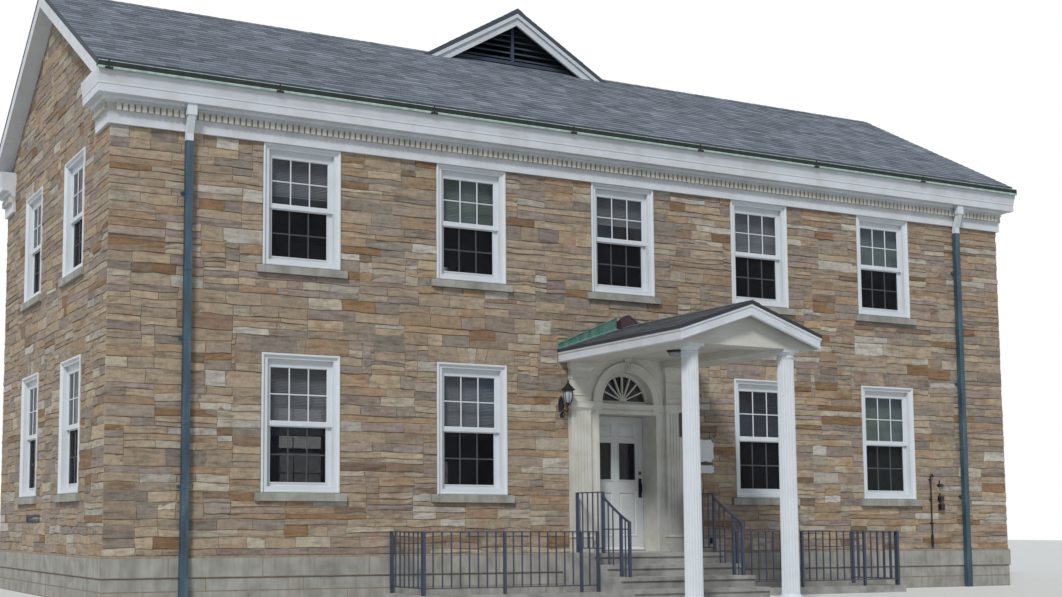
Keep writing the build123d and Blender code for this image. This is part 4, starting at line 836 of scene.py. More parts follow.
crossCaps, crossFoot = ridgeCaps(crossDepth, crossLength), crossRidgeZ - crossEave * house["crossSlope"]
for side, sign, start, low, high in (
        ("right", 1, gableLow.y, valleyDepth, lambda b: crossDepth),
        ("left", -1, gableHigh.y, noEdge, lambda b: crossDepth - valleyDepth(b))):
    shingle(f"cross_gable_{side}_shingles", (sign * crossEave, start, crossFoot), (0, sign, 0),
            (-sign / crossRun, 0, house["crossSlope"] / crossRun),
            [slopeTabs(crossLength, low, high), crossCaps])

porchLow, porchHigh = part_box("portico_roof")
porchLength, porchDepth = porchHigh.x * porchRun, porchHigh.y - porchLow.y
porchCaps = ridgeCaps(porchDepth - shingleWork["porchCapStart"], porchLength)
porchEaveZ = porchHigh.z - porchHigh.x * house["porticoSlope"]
for side, sign, start, depth, shift in (
        ("right", 1, porchLow.y, porchDepth - shingleWork["gap"], 0.0),
        ("left", -1, porchHigh.y, porchDepth, shingleWork["porchCapStart"])):
    shingle(f"porch_{side}_shingles", (sign * porchHigh.x, start, porchEaveZ), (0, sign, 0),
            (-sign / porchRun, 0, house["porticoSlope"] / porchRun),
            [slopeTabs(porchLength, noEdge, lambda b: depth), (porchCaps[0] + [shift, 0.0], porchCaps[1])],
            "porchShingles")
print("roofs shingled")

# Window joinery. Points of a window are (along from its middle, depth behind the wall's face, height
# over its foot), and every part below is made for all the windows at once
joinery = {"bar": (0.02, 0.012), "barProud": 0.009, "bead": 0.01, "glassThick": 0.006,
           "mould": [(0.0, 0.008), (0.0, -0.018), (0.006, -0.023), (0.026, -0.023), (0.036, -0.01),
                     (0.042, 0.008)],
           "apron": [(0.0, 0.01), (0.0, -0.022), (-0.018, -0.024), (-0.03, 0.01)],
           "latch": (0.06, 0.018, 0.014), "screen": 0.0012, "screenBar": 0.016, "screenGap": 0.0045}
glassHalf = house["frameWidth"] / 2 - house["casing"] - house["stile"]
upperFace = house["reveal"] + house["setback"]
lowerFace = upperFace + house["sash"]


# Lights of a window as (foot, top, face of the sash): the lower sash stands behind the upper
def lightsOf(height):
    low, high = house["foot"] + house["bottomRail"], height - house["head"] - house["topRail"]
    middle, half = low + (high - low) * house["meetingShare"], house["meetingRail"] / 2
    return [(low, middle - half, lowerFace), (middle + half, high, upperFace)]


# Two upright bars and a level one over each light, that taper away from the glass
def sashBars(height):
    parts = []
    wide, narrow = joinery["bar"]
    for low, high, face in lightsOf(height):
        glassFace = face + (house["sash"] - joinery["glassThick"]) / 2
        outer = glassFace - joinery["barProud"]
        section = [(-wide / 2, glassFace), (wide / 2, glassFace), (narrow / 2, outer), (-narrow / 2, outer)]
        for x in (-glassHalf / 3, glassHalf / 3):
            parts.append(straightBar((x, 0, low), (x, 0, high), (1, 0, 0), section))
        level = (low + high) / 2
        parts.append(straightBar((-glassHalf, 0, level), (glassHalf, 0, level), (0, 0, -1),
                                 [(u * 0.98, v + 0.0002) for u, v in section]))
    return parts


# A three-sided bead round each light, against the glass
def glazingBeads(height):
    parts = []
    for low, high, face in lightsOf(height):
        glassFace = face + (house["sash"] - joinery["glassThick"]) / 2
        section = [(0.0, face + 0.002), (joinery["bead"], glassFace), (0.0, glassFace)]
        parts.append(mitredFrame(-glassHalf, glassHalf, low, high, section))
    return parts


# A band carried up and over each casing, and an apron along its foot
def casingMoulds(height):
    half, inset = house["frameWidth"] / 2, joinery["mould"][-1][0]
    return [mitredFrame(-half, half, 0.0, height, joinery["mould"], openFoot=True),
            straightBar((-half + inset, 0, 0), (half - inset, 0, 0), (0, 0, -1), joinery["apron"])]


# A plate and its lever on the meeting rail
def sashLatches(height):
    low, high, face = lightsOf(height)[0]
    width, deep, tall = joinery["latch"]
    top = high + house["meetingRail"]
    return [boxes([-width / 2, face + 0.008, top], [width / 2, face + 0.008 + deep, top + tall / 2]),
            boxes([-width / 6, face + 0.002, top + tall / 2], [width / 2, face + 0.016, top + tall])]


# A thin cloth over the lower light, edged by the frame below
def screenCloth(height):
    low, high, face = lightsOf(height)[0]
    edge, face = joinery["screenBar"] - 0.004, face - joinery["screenGap"]
    return [boxes([-glassHalf + edge, face, low + edge],
                  [glassHalf - edge, face + joinery["screen"], high - edge])]


# A square bar carried round the lower light
def screenFrames(height):
    low, high, face = lightsOf(height)[0]
    bar = joinery["screenBar"]
    section = [(0.0, face - 0.008), (bar, face - 0.008), (bar, face), (0.0, face)]
    return [mitredFrame(-glassHalf, glassHalf, low, high, section)]


# Each kind of part as one piece, put at every window
for name, make, look in (
        ("window_bars", sashBars, "upright"), ("glazing_beads", glazingBeads, "upright"),
        ("casing_moulds", casingMoulds, "upright"), ("sash_latches", sashLatches, "brass"),
        ("insect_screens", screenCloth, "screen"), ("screen_frames", screenFrames, "upright")):
    parts = []
    for wall, middle, foot, height in windows:
        parts += placed(wall, make(height), (middle, 0.0, foot))
    makePiece(name, look, parts)
    print(name, "fitted")

# Slatted blinds behind the glass, as (window, share let down, tilt in degrees, slats)
blindWork = {"depth": 0.2, "slat": 0.025, "thick": 0.0012, "crown": 0.0025, "pitch": 0.0215, "rail": 0.026,
             "beyond": 0.048, "above": 0.03, "footRail": 0.012, "halfRail": 0.013, "tape": 0.001,
             "front": [(0, 0.6, 50, "slatWhite"), (1, 0.57, 55, "slatWhite"), (2, 0.98, 28, "slatDark"),
                       (3, 0.98, 60, "slatGreen"), (4, 0.4, 52, "slatWhite"), (5, 0.52, 58, "slatGreen"),
                       (6, 0.34, 50, "slatWhite"), (7, 0.46, 60, "slatWhite"), (8, 0.62, 55, "slatGreen")],
             "left": [(0, 0.7, 55, "slatWhite"), (1, 0.55, 50, "slatWhite"), (2, 0.5, 50, "slatWhite"),
                      (3, 0.65, 58, "slatGreen")],
             "right": [(0, 0.6, 50, "slatWhite"), (2, 0.48, 50, "slatWhite"), (3, 0.58, 55, "slatWhite")],
             "rear": [(0, 0.55, 52, "slatWhite"), (2, 0.6, 50, "slatWhite"), (4, 0.98, 55, "slatGreen"),
                      (6, 0.5, 50, "slatWhite"), (8, 0.58, 55, "slatWhite")]}


# One blind: slats that hang one under another. Across a slat at t from -1 to 1 the point is
# t * half width turned by the tilt, raised by crown * (1 - t * t)
def blind(height, drop, tilt):
    half = house["frameWidth"] / 2 - house["casing"] + blindWork["beyond"]
    top = height - house["head"] + blindWork["above"]
    under = top - blindWork["rail"]
    foot = under - drop * (height - house["head"] - house["foot"])
    levels = np.arange(under - 0.014, foot + 0.02, -blindWork["pitch"])
    turn = math.radians(tilt)
    t = np.array([-1.0, 0.0, 1.0, 1.0, 0.0, -1.0])
    lift = blindWork["crown"] * (1 - t * t) + np.array([0.5, 0.5, 0.5, -0.5, -0.5, -0.5]) * blindWork["thick"]
    across = t * blindWork["slat"] / 2
    depth = across * math.cos(turn) - lift * math.sin(turn) + blindWork["depth"]
    rise = across * math.sin(turn) + lift * math.cos(turn)
    ends = np.array([-half, half])
    slats = np.stack(np.broadcast_arrays(ends[None, :, None], depth, levels[:, None, None] + rise), -1)
    parts = [tube(slat) for slat in slats]
    y0, y1 = blindWork["depth"] - blindWork["halfRail"], blindWork["depth"] + blindWork["halfRail"]
    for low, high in ((under, top), (foot, foot + blindWork["footRail"])):
        parts.append(boxes([-half, y0, low], [half, y1, high]))
    tape = blindWork["tape"]
    for x in (-half * 0.6, half * 0.6):
        parts.append(boxes([x - tape, y0 - tape, foot + blindWork["footRail"]], [x + tape, y0 + tape, under]))
    return parts


for look in ("slatWhite", "slatGreen", "slatDark"):
    parts = []
    for wall in walls:
        for index, drop, tilt, slats in blindWork[wall]:
            if slats == look:
                middle, foot, height = windowsOf(wall)[index]
                parts += placed(wall, blind(height, drop, tilt), (middle, 0.0, foot))
    makePiece(f"blinds_{look}", look, parts)
print("blinds hung")

# The doorway's mouldings, in points of the front wall. Sections are (height or offset, depth), and
# heights are above the floor
doorway = {"half": 0.535, "top": 2.131, "spring": 2.306, "arch": 0.48, "archBand": 0.17, "surround": 0.05,
           "archProud": 0.026, "pilasterInner": 0.71, "pilasterOuter": 1.06, "pilasterProud": 0.105,
           "segments": 48, "jamb": 0.066, "sill": 0.002}
nearArch, surround = doorway["surround"] + doorway["archProud"], -doorway["surround"]


# A section bent round the arch: point = centre + (radius + offset) turned by the angle, at the
# section's depth
def archedFrame(radius, section, start=0.0, end=math.pi):
    offset, depth = np.array(section).T
    turn = np.linspace(start, end, doorway["segments"] + 1)[:, None]
    x, z = (radius + offset) * np.cos(turn), doorway["spring"] + (radius + offset) * np.sin(turn)
    return tube(np.stack([x, np.broadcast_to(depth, x.shape), z], -1))


# A moulding that runs round three sides of a pilaster with square corners: its section gives how
# far it stands out and its height
def aroundPilaster(left, right, face, section):
    out, height = np.array(section).T
    back = np.full(out.shape, surround + 0.002)
    rows = [(left - out, back), (left - out, face - out), (right + out, face - out), (right + out, back)]
    return tube([np.stack([x, y, height], -1) for x, y in rows])


# An ogee in steps: out = reach * (3 t^2 - 2 t^3) as the height goes from foot to top with t
def ogee(foot, top, reach, start):
    return [(start + reach * (3 * u * u - 2 * u ** 3), foot + (top - foot) * u) for u in np.linspace(0, 1, 7)]


# A bar across the doorway from one x to another
def levelBar(left, right, section):
    return straightBar((left, 0, 0), (right, 0, 0), (0, 0, 1), section)


outerArch = [(-0.05, 0.001), (-0.046, -0.01), (-0.03, -0.016), (-0.006, -0.016), (0.004, -0.004),
             (0.004, doorway["archProud"] + 0.001)]
innerArch = [(0.0, 0.001), (0.002, -0.008), (0.014, -0.012), (0.026, -0.008), (0.03, 0.001)]
pilasterMoulds = [
    [(-0.002, 2.77), *ogee(2.776, 2.836, 0.03, 0.008), (0.044, 2.838), (0.044, 2.895), (-0.002, 2.895)],
    [(-0.002, 2.64), (0.01, 2.644), (0.014, 2.652), (0.01, 2.66), (-0.002, 2.664)],
    [(-0.002, 2.18), *ogee(2.184, 2.214, 0.016, 0.006), (0.024, 2.29), (0.03, 2.296), (0.03, 2.312),
     (-0.002, 2.316)],
    [(-0.002, 2.392), (0.012, 2.396), (0.012, 2.412), (-0.002, 2.42)],
    [(-0.002, 0.226), (0.026, 0.226), (0.026, 0.236), (0.014, 0.252), (-0.002, 0.262)]]
impostBand = [(2.306, 0.0), (2.306, -0.034), (2.3, -0.034), (2.28, -0.024), (2.19, -0.02), (2.18, 0.0)]
lintel = [(2.302, 0.0), (2.302, -0.012), (2.288, -0.024), (2.232, -0.024), (2.214, -0.01), (2.214, 0.0)]
jamb = [(0.066, 0.001), (0.0, 0.001), (0.008, -0.022), (0.054, -0.022), (0.066, -0.018)]
parts = [archedFrame(doorway["arch"] + doorway["archBand"], np.array(outerArch) - [0, nearArch]),
         archedFrame(doorway["arch"], np.array(innerArch) - [0, nearArch])]
for sign in (-1, 1):
    left, right = sorted((sign * doorway["pilasterInner"], sign * doorway["pilasterOuter"]))
    parts += [aroundPilaster(left, right, -doorway["pilasterProud"], section) for section in pilasterMoulds]
    parts.append(levelBar(sign * doorway["arch"], sign * (doorway["pilasterInner"] + 0.002),
                          np.array(impostBand) + [0, surround]))
half = doorway["half"] + doorway["jamb"]
parts += [mitredFrame(-half, half, doorway["sill"], doorway["top"] + doorway["jamb"],
                      np.array(jamb) + [0, surround], openFoot=True),
          levelBar(-doorway["arch"], doorway["arch"], np.array(lintel) + [0, surround])]
rib = np.array([(-0.006, 0.0, 0.0), (0.0, -0.007, 0.0), (0.006, 0.0, 0.0), (0.0, 0.004, 0.0)])
for lean in (-0.6, 0.0, 0.6):
    parts.append(tube([rib + (lean * reach, -nearArch - 0.03, doorway["spring"] + rise)
                       for reach, rise in ((0.052, 0.5), (0.078, 0.65))]))
makePiece("doorway_mouldings", "porch", parts, "front", floorZ)

# Fanlight: a reeded boss on the hub, whose radius waves with the turn, and drops where the bars meet
# the rim
fan = {"foot": doorway["spring"] + 0.043, "face": 0.07, "radius": 0.431, "boss": 0.074, "drops": 8,
       "turns": 25, "rings": [(1.0, 0.004), (1.0, -0.008), (0.86, -0.016), (0.55, -0.02), (0.12, -0.022)],
       "drop": [(0.0, -0.006), (0.01, -0.006), (0.01, 0.004), (0.0, 0.004)]}
turn = np.linspace(0, math.pi, fan["turns"])[:, None]
share, depth = np.array(fan["rings"]).T
lobes = fan["boss"] * (1 + 0.06 * np.cos(12 * turn)) * share
x, z = lobes * np.cos(turn), fan["foot"] + lobes * np.sin(turn)
points = np.stack([x, np.broadcast_to(fan["face"] + depth, x.shape), z], -1).reshape(-1, 3)
middles = [[0, fan["face"] + depth[-1], fan["foot"]], [0, fan["face"] + depth[0], fan["foot"]]]
boss = (np.concatenate([points, middles]),
        gridFaces(25, 5) + [[5 * k + 4, 125, 5 * k + 9] for k in range(24)]
        + [[5 * k + 5, 126, 5 * k] for k in range(24)]
        + [[0, 126, 125, 4, 3, 2, 1], [120, 121, 122, 123, 124, 125, 126]])
drops = [archedFrame(fan["radius"], np.array(fan["drop"]) + [0, fan["face"]], bend - math.pi / 20,
                     bend + math.pi / 20)
         for bend in math.pi * (np.arange(fan["drops"]) + 0.5) / fan["drops"]]
makePiece("fanlight_boss", "porch", [boss, *drops], "front", floorZ)

# Door leaf: mouldings round the panels and the lights, raised fields, a weather bar and a lock plate,
# with the brass saddle under it. Depths are from the leaf's face
leaf = {"face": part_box("entrance_door")[0].y - frontY, "inner": 0.066, "outer": 0.392,
        "lights": (1.119, 1.714), "panels": [(1.795, 2.01), (0.25, 0.927)],
        "bead": [(-0.016, 0.0), (-0.012, -0.009), (0.0, -0.011), (0.008, -0.004), (0.01, 0.009),
                 (0.0, 0.009)],
        "panelBead": [(-0.01, 0.0), (-0.008, -0.006), (0.002, -0.007), (0.014, 0.004), (0.016, 0.0095),
                      (0.0, 0.0095)],
        "field": [(0.024, 0.012), (0.024, 0.009), (0.03, 0.007), (0.052, 0.002)],
        "weather": [(0.072, 0.0005), (0.066, -0.01), (0.034, -0.032), (0.024, -0.03), (0.024, 0.0005)],
        "weatherHalf": 0.515, "saddleHalf": 0.534, "lock": (0.47, 1.235),
        "lockPlate": [(0.03, 0.0005), (0.031, -0.006), (0.026, -0.01), (0.016, -0.011), (0.014, -0.017),
                      (0.004, -0.018)],
        "saddle": [(0.012, 0.24), (0.018, 0.262), (0.0195, 0.3), (0.0195, 0.345), (0.012, 0.372)]}
beads, fields = [], []
for sign in (-1, 1):
    left, right = sorted((sign * leaf["inner"], sign * leaf["outer"]))
    beads.append(mitredFrame(left, right, *leaf["lights"], np.array(leaf["bead"]) + [0, leaf["face"]]))
    for foot, top in leaf["panels"]:
        beads.append(mitredFrame(left, right, foot, top, np.array(leaf["panelBead"]) + [0, leaf["face"]]))
        fields.append(tube([[[left + inset, depth, foot + inset], [right - inset, depth, foot + inset],
                             [right - inset, depth, top - inset], [left + inset, depth, top - inset]]
                            for inset, depth in np.array(leaf["field"]) + [0, leaf["face"]]]))
weather = np.array(leaf["weather"]) + [0, leaf["face"]]
weatherBar = levelBar(-leaf["weatherHalf"], leaf["weatherHalf"], weather)
saddle = levelBar(-leaf["saddleHalf"], leaf["saddleHalf"], leaf["saddle"])
lockPlate = turnedShape((leaf["lock"][0], leaf["face"], leaf["lock"][1]), leaf["lockPlate"], facing=True)
for name, look, parts, body in (
        ("door_mouldings", "doorPaint", beads + fields, "door"),
        ("door_weather_bar", "doorPaint", [weatherBar], "door"),
        ("door_lock", "brass", [lockPlate], "door"),
        ("door_saddle", "brass", [saddle], "building")):
    makePiece(name, look, parts, "front", floorZ, body)
print("doorway dressed")

# Columns: a rounded torus and fillet on the base, and an astragal and cushion at the capital
columnWork = {"x": 0.842, "reach": 2.736, "sides": 64, "astragal": 0.13, "cushion": 0.042}
halfTurn, quarter = np.linspace(-math.pi / 2, math.pi / 2, 9), np.linspace(0, math.pi / 2, 5)
ringZ, cushionZ = porticoZ - columnWork["astragal"], porticoZ - columnWork["cushion"]
outlines = [
    [(0.15, 0.0455), *((0.1585 + 0.017 * math.cos(b), 0.0625 + 0.017 * math.sin(b)) for b in halfTurn),
     (0.15, 0.08)],
    [(0.146, 0.078), (0.146, 0.086),
     *((0.127 + 0.017 * (1 - math.sin(b)), 0.086 + 0.026 * (1 - math.cos(b))) for b in quarter)],
    [(0.114, ringZ + 0.008),
     *((0.1162 + 0.008 * math.cos(b), ringZ + 0.018 + 0.008 * math.sin(b)) for b in halfTurn),
     (0.114, ringZ + 0.028)],
    [(0.1165, cushionZ - 0.034), *((0.12 + 0.019 * math.sin(b), cushionZ - 0.001 - 0.026 * math.cos(b))
                                   for b in np.linspace(0, math.pi / 2, 6))]]
makePiece("column_mouldings", "upright",
          [turnedShape((x, frontY - columnWork["reach"], 0.0), outline, columnWork["sides"])
           for x in (-columnWork["x"], columnWork["x"]) for outline in outlines])

# Porch roof edge: a crown strip under the shingles along the rakes and eaves, and a bead at the foot
# of the fascia. Sections are (drop, depth) from the roof's edge
porch = {"half": 1.222, "front": frontY - 3.044, "edge": porticoZ + 0.163, "overlap": 0.014,
         "crown": [(0.0, 0.002), (-0.004, -0.012), (-0.03, -0.014), (-0.046, -0.004), (-0.048, 0.002)],
         "bead": [(-0.128, 0.002), (-0.13, -0.007), (-0.15, -0.008), (-0.16, 0.002)]}
parts = []
for section in (porch["crown"], porch["bead"]):
    drop, depth = np.array(section).T
    parts.append(tube([np.stack([np.full(len(drop), x), porch["front"] + depth,
                                 porch["edge"] + (porch["half"] - abs(x)) * house["porticoSlope"] + drop], -1)
                       for x in (-porch["half"], 0.0, porch["half"])]))
    for sign in (-1, 1):
        edge = np.stack([sign * (porch["half"] - depth), 0 * drop, porch["edge"] + drop], -1)
        parts.append(tube([edge + [0, y, 0] for y in (porch["front"] - porch["overlap"], frontY)]))
makePiece("porch_fascia_moulds", "white", parts)
print("porch dressed")

# Lanterns: a ribbed glass jar with a hood, a finial and a scrolled arm on an oval plate, and a bare
# dark plate on the pilaster under one of them
lantern = {"x": 1.19, "reach": 0.21, "z": floorZ + 2.24, "ribs": 8, "turns": 24, "arm": 0.0075,
           "jar": [(0.03, 0.01), (0.05, 0.03), (0.066, 0.065), (0.076, 0.11), (0.078, 0.15), (0.072, 0.19),
                   (0.062, 0.212)],
           "drop": [(0.01, -0.024), (0.018, -0.016), (0.014, -0.006), (0.032, 0.002), (0.036, 0.012),
                    (0.03, 0.014)],
           "hood": [(0.06, 0.208), (0.082, 0.206), (0.108, 0.214), (0.11, 0.222), (0.092, 0.236),
                    (0.07, 0.262), (0.04, 0.286), (0.03, 0.3), (0.034, 0.308), (0.02, 0.318), (0.01, 0.326),
                    (0.016, 0.34), (0.015, 0.352), (0.006, 0.366), (0.004, 0.392)],
           "rib": ((-0.004, -0.0035), (0.003, -0.0035), (0.003, 0.0035), (-0.004, 0.0035)),
           "oval": (0.056, 0.178), "plate": ((1, 0), (1, 0.006), (0.86, 0.013), (0.5, 0.016))}
bend, scroll = np.linspace(0, 1, 25), np.linspace(0, 2.2 * math.pi, 25)
arm = np.stack([0 * bend, -0.01 - (lantern["reach"] - 0.01) * bend ** 0.8,
                -0.145 + 0.055 * np.sin(bend * math.pi * 1.5) + 0.135 * bend ** 3], -1)
radius = 0.045 - 0.014 * scroll / 2.2 / math.pi * 2
curl = np.stack([0 * bend, -0.07 - radius * np.cos(scroll), -0.16 + radius * np.sin(scroll)], -1)
metal, glass = [], []
for x in (-lantern["x"], lantern["x"]):
    onPlate = np.array([x, frontY, lantern["z"]])
    centre = onPlate - [0, lantern["reach"], 0]
    glass.append(turnedShape(centre, np.array(lantern["jar"]) - [0.004, 0], lantern["turns"]))
    metal += [turnedShape(centre, lantern[key], sides)
              for key, sides in (("drop", 16), ("hood", lantern["turns"]))]
    for turn in 2 * math.pi * (np.arange(lantern["ribs"]) + 0.5) / lantern["ribs"]:
        cosine, sine = math.cos(turn), math.sin(turn)
        metal.append(tube([[centre + [cosine * (r + out) - sine * wide, sine * (r + out) + cosine * wide, z]
                            for out, wide in lantern["rib"]] for r, z in lantern["jar"]]))
    metal += [rod(path + onPlate, lantern["arm"], 6, (1.0, 0.0, 0.0)) for path in (arm, curl)]
    turn = 2 * np.pi * np.arange(24) / 24
    oval = np.stack([lantern["oval"][0] * np.cos(turn), 0 * turn, lantern["oval"][1] * np.sin(turn)], -1)
    metal.append(tube([oval * share + onPlate - [0, proud, 0.025] for share, proud in lantern["plate"]]))
metal.append(boxes([0.958, frontY - 0.115, floorZ + 1.808], [1.046, frontY - 0.103, floorZ + 2.196]))
makePiece("lantern_metal", "black", metal, replaces=("wall_lanterns",))
makePiece("lantern_glass", "lampGlass", glass, smooth=True)

# A dark round lamp in the porch ceiling, with a frosted bowl
lampPlace = (0.0, frontY - 1.3, porticoZ + 0.112)
lampRim = [(0.104, -0.034), (0.116, -0.028), (0.124, -0.014), (0.12, 0.0)]
lampBowl = [(0.01, -0.097), (0.05, -0.092), (0.08, -0.078), (0.098, -0.056), (0.104, -0.03)]
makePiece("porch_lamp_rim", "black", [turnedShape(lampPlace, lampRim, 32)])
makePiece("porch_lamp_bowl", "lampGlass", [turnedShape(lampPlace, lampBowl, 32)], smooth=True)
print("lamps hung")

# Gutters: a rolled lip, the pale edge strip under the dark face, and the brackets that cut it. The
# strip's section is (height, depth) from the gutter's lower edge
gutter = {"lip": 0.302, "foot": 7.119, "top": 7.199, "bracket": 2.43, "first": 1.338, "bead": 0.007,
          "strip": [(0.004, -0.001), (-0.006, -0.007), (-0.026, -0.004), (-0.026, 0.014), (0.004, 0.014)],
          "clear": crossEave + 0.01}
bend, lip, foot, top = 2 * np.pi * np.arange(8) / 8, -gutter["lip"], gutter["foot"], gutter["top"]
roll = np.stack([top - 0.004 + gutter["bead"] * np.sin(bend), 0.004 + lip + gutter["bead"] * np.cos(bend)],
                -1)
strip = np.array(gutter["strip"]) + [foot, lip]
bracket = boxes([[-0.055, lip - 0.012, foot - 0.03], [-0.012, lip - 0.005, foot - 0.004],
                 [-0.01, lip - 0.004, top - 0.002]],
                [[0.055, lip + 0.016, foot - 0.003], [0.012, lip + 0.004, top - 0.002],
                 [0.01, lip + 0.094, top + 0.003]])
parts, brackets, clear = [], [], gutter["clear"]
for wall, low, high in (("front", -vergeX, vergeX), ("rear", -vergeX, -clear), ("rear", clear, vergeX)):
    parts += placed(wall, [levelBar(low, high, section) for section in (roll, strip)])
    for x in gutter["first"] + gutter["bracket"] * np.arange(-4, 4):
        if low + 0.1 < x < high - 0.1:
            brackets += placed(wall, [bracket], (x, 0.0, 0.0))
makePiece("gutter_edges", "lipPatina", parts)
makePiece("gutter_brackets", "gutterPatinaShade", brackets)

# Downpipes: straps with ears on the wall, and a socket ring at each joint
pipe = {"x": 7.192, "half": 0.051, "near": 0.04, "far": 0.116, "straps": (0.9, 2.9, 4.9), "tall": 0.045,
        "joints": (1.75, 3.85), "skin": 0.003, "ear": 0.04,
        "socket": ((0.0, 0.0), (0.004, 0.004), (0.004, 0.05), (0.0, 0.062))}
half, near, far, tall, skin, ear = (pipe[key] for key in ("half", "near", "far", "tall", "skin", "ear"))
straps = boxes([[-half - skin, -far - skin, 0], [-half - skin, -far, 0], [half, -far, 0],
                [-half - ear, -0.016, 0], [half, -0.016, 0], [-half - 0.028, -0.022, 0.017],
                [half + 0.018, -0.022, 0.017]],
               [[half + skin, -far, tall], [-half, -0.004, tall], [half + skin, -0.004, tall],
                [-half, -0.004, tall], [half + ear, -0.004, tall], [-half - 0.018, -0.016, 0.028],
                [half + 0.028, -0.016, 0.028]])
socket = tube([[[-half - out, -far - out, z], [half + out, -far - out, z], [half + out, out - near, z],
                [-half - out, out - near, z]] for out, z in pipe["socket"]])
parts = []
for wall in ("front", "rear"):
    for x in (-pipe["x"], pipe["x"]):
        for shape, level in [(straps, z) for z in pipe["straps"]] + [(socket, z) for z in pipe["joints"]]:
            parts += placed(wall, [shape], (x, 0.0, floorZ + level))
makePiece("downpipe_straps", "patina", parts)

# Teeth of the rear dentil band, which the CAD leaves plain, to match the front
teeth = {"wide": 0.062, "pitch": 0.088, "back": 0.07, "proud": 0.042, "count": 187, "returns": 7,
         "gap": 0.001}
bandLow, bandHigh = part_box("dentil_bands")
tooth = [teeth["wide"], teeth["proud"] + 0.002, bandHigh.z - bandLow.z - 2 * teeth["gap"]]
back = rearY - teeth["pitch"] * np.arange(teeth["returns"])
parts = []
for wall, along in (("rear", teeth["pitch"] * (np.arange(teeth["count"]) - (teeth["count"] - 1) / 2)),
                    ("left", -back), ("right", back)):
    low = np.stack(np.broadcast_arrays(along - teeth["wide"] / 2, -teeth["back"] - teeth["proud"],
                                       bandLow.z + teeth["gap"]), -1)
    parts += placed(wall, [boxes(low, low + tooth)])
makePiece("rear_dentils", "dentilShadePaint", parts)

# Copper over the porch: standing seams, a hemmed top and an apron on the wall flashing, and laps on
# the ridge box. Sections are (how far they stand out from the wall, height)
copper = {"low": 0.095, "high": 0.2, "seams": 5, "seam": 0.006,
          "hem": ((0.016, 0.0), (0.024, -0.002), (0.026, -0.014), (0.017, -0.016)),
          "apron": ((0.017, 0.03), (0.03, 0.012), (0.11, 0.004), (0.112, 0.0), (0.017, 0.0)),
          "laps": (0.012, 0.072), "lap": 0.01, "wallDrop": 0.1}
roofHalf, (boxLow, boxHigh) = porchHigh.x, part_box("ridge_box")
boxHalf = boxHigh.x


# Height over the porch shingles at a distance from the ridge, plus a rise from low to high
def flashingHeight(x, low=0.0, high=0.0):
    share = (abs(x) - boxHalf) / (roofHalf - boxHalf)
    return flashingLow.z + (roofHalf - abs(x)) * house["porticoSlope"] + high + (low - high) * share


parts, rise = [], (copper["low"], copper["high"])
for sign in (-1, 1):
    for x in np.linspace(boxHalf + 0.12, roofHalf - 0.1, copper["seams"]):
        parts.append(boxes([sign * x - copper["seam"], frontY - 0.026, flashingHeight(x) + 0.004],
                           [sign * x + copper["seam"], frontY - 0.017, flashingHeight(x, *rise)]))
    for section, lift in ((copper["hem"], rise), (copper["apron"], ())):
        parts.append(tube([[[sign * x, frontY - out, flashingHeight(x, *lift) + z] for out, z in section]
                           for x in (roofHalf, boxHalf)]))
makePiece("flashing_seams", "flashingPatina", parts)
wallTop, wallFoot = boxHigh.z - copper["wallDrop"], boxLow.z + 0.02
gable = np.array([(-boxHalf, wallFoot), (-boxHalf, wallTop), (0.0, boxHigh.z), (boxHalf, wallTop),
                  (boxHalf, wallFoot)])
inner = np.stack([gable[:, 0] * 0.985, np.zeros(5), gable[:, 1] - 0.003], -1)
outer = np.stack([gable[:, 0] * 1.035, np.zeros(5), gable[:, 1] + [0, 0.004, 0.005, 0.004, 0]], -1)
lap = np.array([0, -copper["lap"], 0])
rows = np.stack([inner, outer, outer + lap, inner + lap], 1)
makePiece("ridge_box_laps", "maroon", [tube(rows + [0, frontY - reach, 0])
                                       for reach in (*copper["laps"], frontY - boxLow.y - 0.004)])

# Service conduit at the right of the front wall, with a hooked top, clips and boxes
conduit = {"x": 6.415, "out": -0.028, "radius": 0.013, "sleeve": 0.022, "clips": (1.1, 1.52, 1.86),
           "boxes": ((1.745, 1.795, 0.048), (1.5, 1.58, 0.06), (1.339, 1.44, 0.07))}
run = [(conduit["x"], conduit["out"], z) for z in (0.7, 0.95, 1.4, 1.905)]
run += [(conduit["x"] + 0.03 * (1 - math.cos(b)), conduit["out"], 1.915 + 0.045 * math.sin(b))
        for b in np.linspace(0, math.pi, 9)]
sleeve = [(conduit["x"], conduit["out"], z) for z in (0.704, 0.9, 0.91)]
parts = [rod(run, conduit["radius"], 10), rod(sleeve, conduit["sleeve"], 10)]
parts += [boxes([6.385, -0.044, z], [6.445, -0.004, z + 0.018]) for z in conduit["clips"]]
parts.append(boxes([[1.598, -0.04, 0.78], [1.603, -0.046, 0.785]],
                   [[1.64, -0.004, 0.866], [1.635, -0.04, 0.861]]))
for low, high, out in conduit["boxes"]:
    parts.append(boxes([[6.594, -out, low], [6.6, -out - 0.006, low + 0.006], [6.628, -0.018, high]],
                       [[6.693, -0.004, high], [6.687, -out, high - 0.006], [6.65, -0.004, high + 0.06]]))
makePiece("service_conduit", "black", parts, "front")

